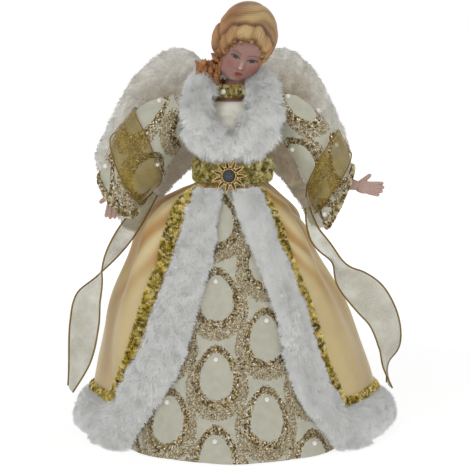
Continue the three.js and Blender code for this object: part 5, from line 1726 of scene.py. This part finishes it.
def ribbons_of(name, side, body):
    """The ribbon round a sleeve and the tail that hangs from its end."""

    def wrap(u, v, lift=0.0):
        row = row_at(WRAP_SHARES[name], v)
        down = row[..., 1] + (u - 0.5) * RIBBON_WIDTH / SLEEVE_LENGTH * row[..., 2]
        out = RIBBON_LIFT + RIBBON_THICK / 2 + lift
        out = out + WRAP_RIPPLE * sin(TURN * 3 * v + 5 * u) + PLEAT_RIPPLE * pleats(u, v)
        return sleeve_point(name, (row[..., 0] + 1) % 1, down, out)

    start_lift = 1.5 * RIBBON_THICK + 4 * SEAT_GAP
    start = wrap(np.array(0.5), np.array(1.0), start_lift) - (side * SHOULDER_HALF_WIDTH, 0, SHOULDER_UP)
    start = start * (side, -1, 1) / RIBBON_DROP
    tail_rows = [[*start, *TAIL_SHARES[name][0][3:]], *TAIL_SHARES[name][1:]]

    def tail_middle(share):
        row = row_at(tail_rows, share)
        return from_shoulder(side, row[..., 0], row[..., 1], row[..., 2], RIBBON_DROP)

    def tail(u, v):
        row = row_at(tail_rows, v)
        way = unit(tail_middle(np.minimum(v + 0.01, 1)) - tail_middle(np.maximum(v - 0.01, 0)))
        level = unit(cross(way, (0, 1, 0)))
        off = cross(level, way)
        twist = row[..., 4:5] * DEGREE
        across = (2 * u - 1)[..., None]
        wide = across * row[..., 3:4] * RIBBON_DROP
        ripple = TAIL_RIPPLE * (sin(TURN * 5 * v + 4 * u) * smooth(v * 3))[..., None] * (1 - across**2)
        width = level * cos(twist) + off * sin(twist)
        return tail_middle(v) + width * wide + (off * cos(twist) - level * sin(twist)) * ripple

    across, down = (values.ravel() for values in spread(40, 90))
    # Painted shade and painted highlight along the pleats of the wrap.
    tones = np.repeat((0.95 + 0.25 * pleats(across, down))[:, None], 3, 1)
    return (
        *ribbon("wrap", name, wrap, body, organza_look, 40, 90, 160, tones),
        *ribbon("tail", name, tail, "figure", sheer_look, 30, 260, 400),
    )


sleeves, ribbons = [], []
for name, side in SIDES.items():
    body = f"{name}_arm"
    sleeves.append(bell_sleeve(name, side, body))
    cuff_braid(name, side, body)
    cast_hand(name)
    ribbons.append(ribbons_of(name, side, body))

# Parts that show as the CAD made them
paint("card_cone", card_look)
paint("torso_form", foam_look)
paint("wing_mount", socket_look)
for node in ("arm_yoke", "arm_wire_left", "arm_wire_right", "wing_wire_left", "wing_wire_right"):
    paint(node, wire_look)


# Camera, floor and light
CAMERA_TARGET = Vector((0.00175, -0.011, 0.1385))
CAMERA_DISTANCE = 0.950
CAMERA_PITCH = 8 * DEGREE
CAMERA_LENS = 103.95
CAMERA_SENSOR = 36
camera_data = bpy.data.cameras.new("camera")
camera_data.lens = CAMERA_LENS
camera_data.sensor_width = CAMERA_SENSOR
camera = new_object("camera", camera_data)
back = Vector((0, -math.cos(CAMERA_PITCH), math.sin(CAMERA_PITCH)))
camera.location = CAMERA_TARGET + back * CAMERA_DISTANCE
camera.rotation_euler = (pi / 2 - CAMERA_PITCH, 0, 0)
bpy.context.scene.camera = camera

# The floor glows more with the distance from the figure, so it has no horizon
FLOOR_HALF = 3.0
GLOW_START, GLOW_END = 0.3, 1.1
floor_mesh = bpy.data.meshes.new("floor")
corners = [(x * FLOOR_HALF, y * FLOOR_HALF, 0) for x, y in ((-1, -1), (1, -1), (1, 1), (-1, 1))]
floor_mesh.from_pydata(corners, [], [(0, 1, 2, 3)])
material, tree, shader = new_material("pale_floor")
distance = put(tree, "VectorMath", {0: put(tree, "TexCoord").outputs["Object"]}, operation="LENGTH")
glow = put(tree, "MapRange", {0: distance.outputs["Value"], 1: GLOW_START, 2: GLOW_END, 3: 0.82, 4: 1.1})
feed(tree, shader, {"Base Color": (0.3, 0.3, 0.3, 1), "Roughness": 0.9, "Specular IOR Level": 0.0})
feed(tree, shader, {"Emission Color": (1, 1, 1, 1), "Emission Strength": glow.outputs[0]})
floor_mesh.materials.append(material)
new_object("floor", floor_mesh)

world = bpy.data.worlds.new("studio")
bpy.context.scene.world = world
world.use_nodes = True
tree = world.node_tree
rays = put(tree, "LightPath").outputs
seen = calc(tree, "MAXIMUM", rays["Is Camera Ray"], rays["Is Glossy Ray"])
seen = calc(tree, "MAXIMUM", seen, rays["Is Transmission Ray"])
strength = calc(tree, "MULTIPLY_ADD", seen, 0.62, 0.38)
feed(tree, tree.nodes["Background"], {"Strength": strength, "Color": (1, 1, 1, 1)})

LAMP_AIM = Vector((0, 0, 0.15))
# Place, size and power of each lamp, in metres and watts
LAMPS = {
    "key": ((-0.9, -1.3, 1.5), 0.9, 9.0),
    "fill": ((1.3, -1.1, 0.9), 1.2, 3.5),
    "top": ((0.2, 0.5, 1.9), 1.2, 5.0),
}
for name, (place, size, power) in LAMPS.items():
    data = bpy.data.lights.new(name, "AREA")
    data.size = size
    data.energy = power
    lamp = new_object(name, data)
    lamp.location = place
    lamp.rotation_euler = (LAMP_AIM - lamp.location).to_track_quat("-Z", "Y").to_euler()

bpy.context.scene.view_settings.view_transform = "Standard"
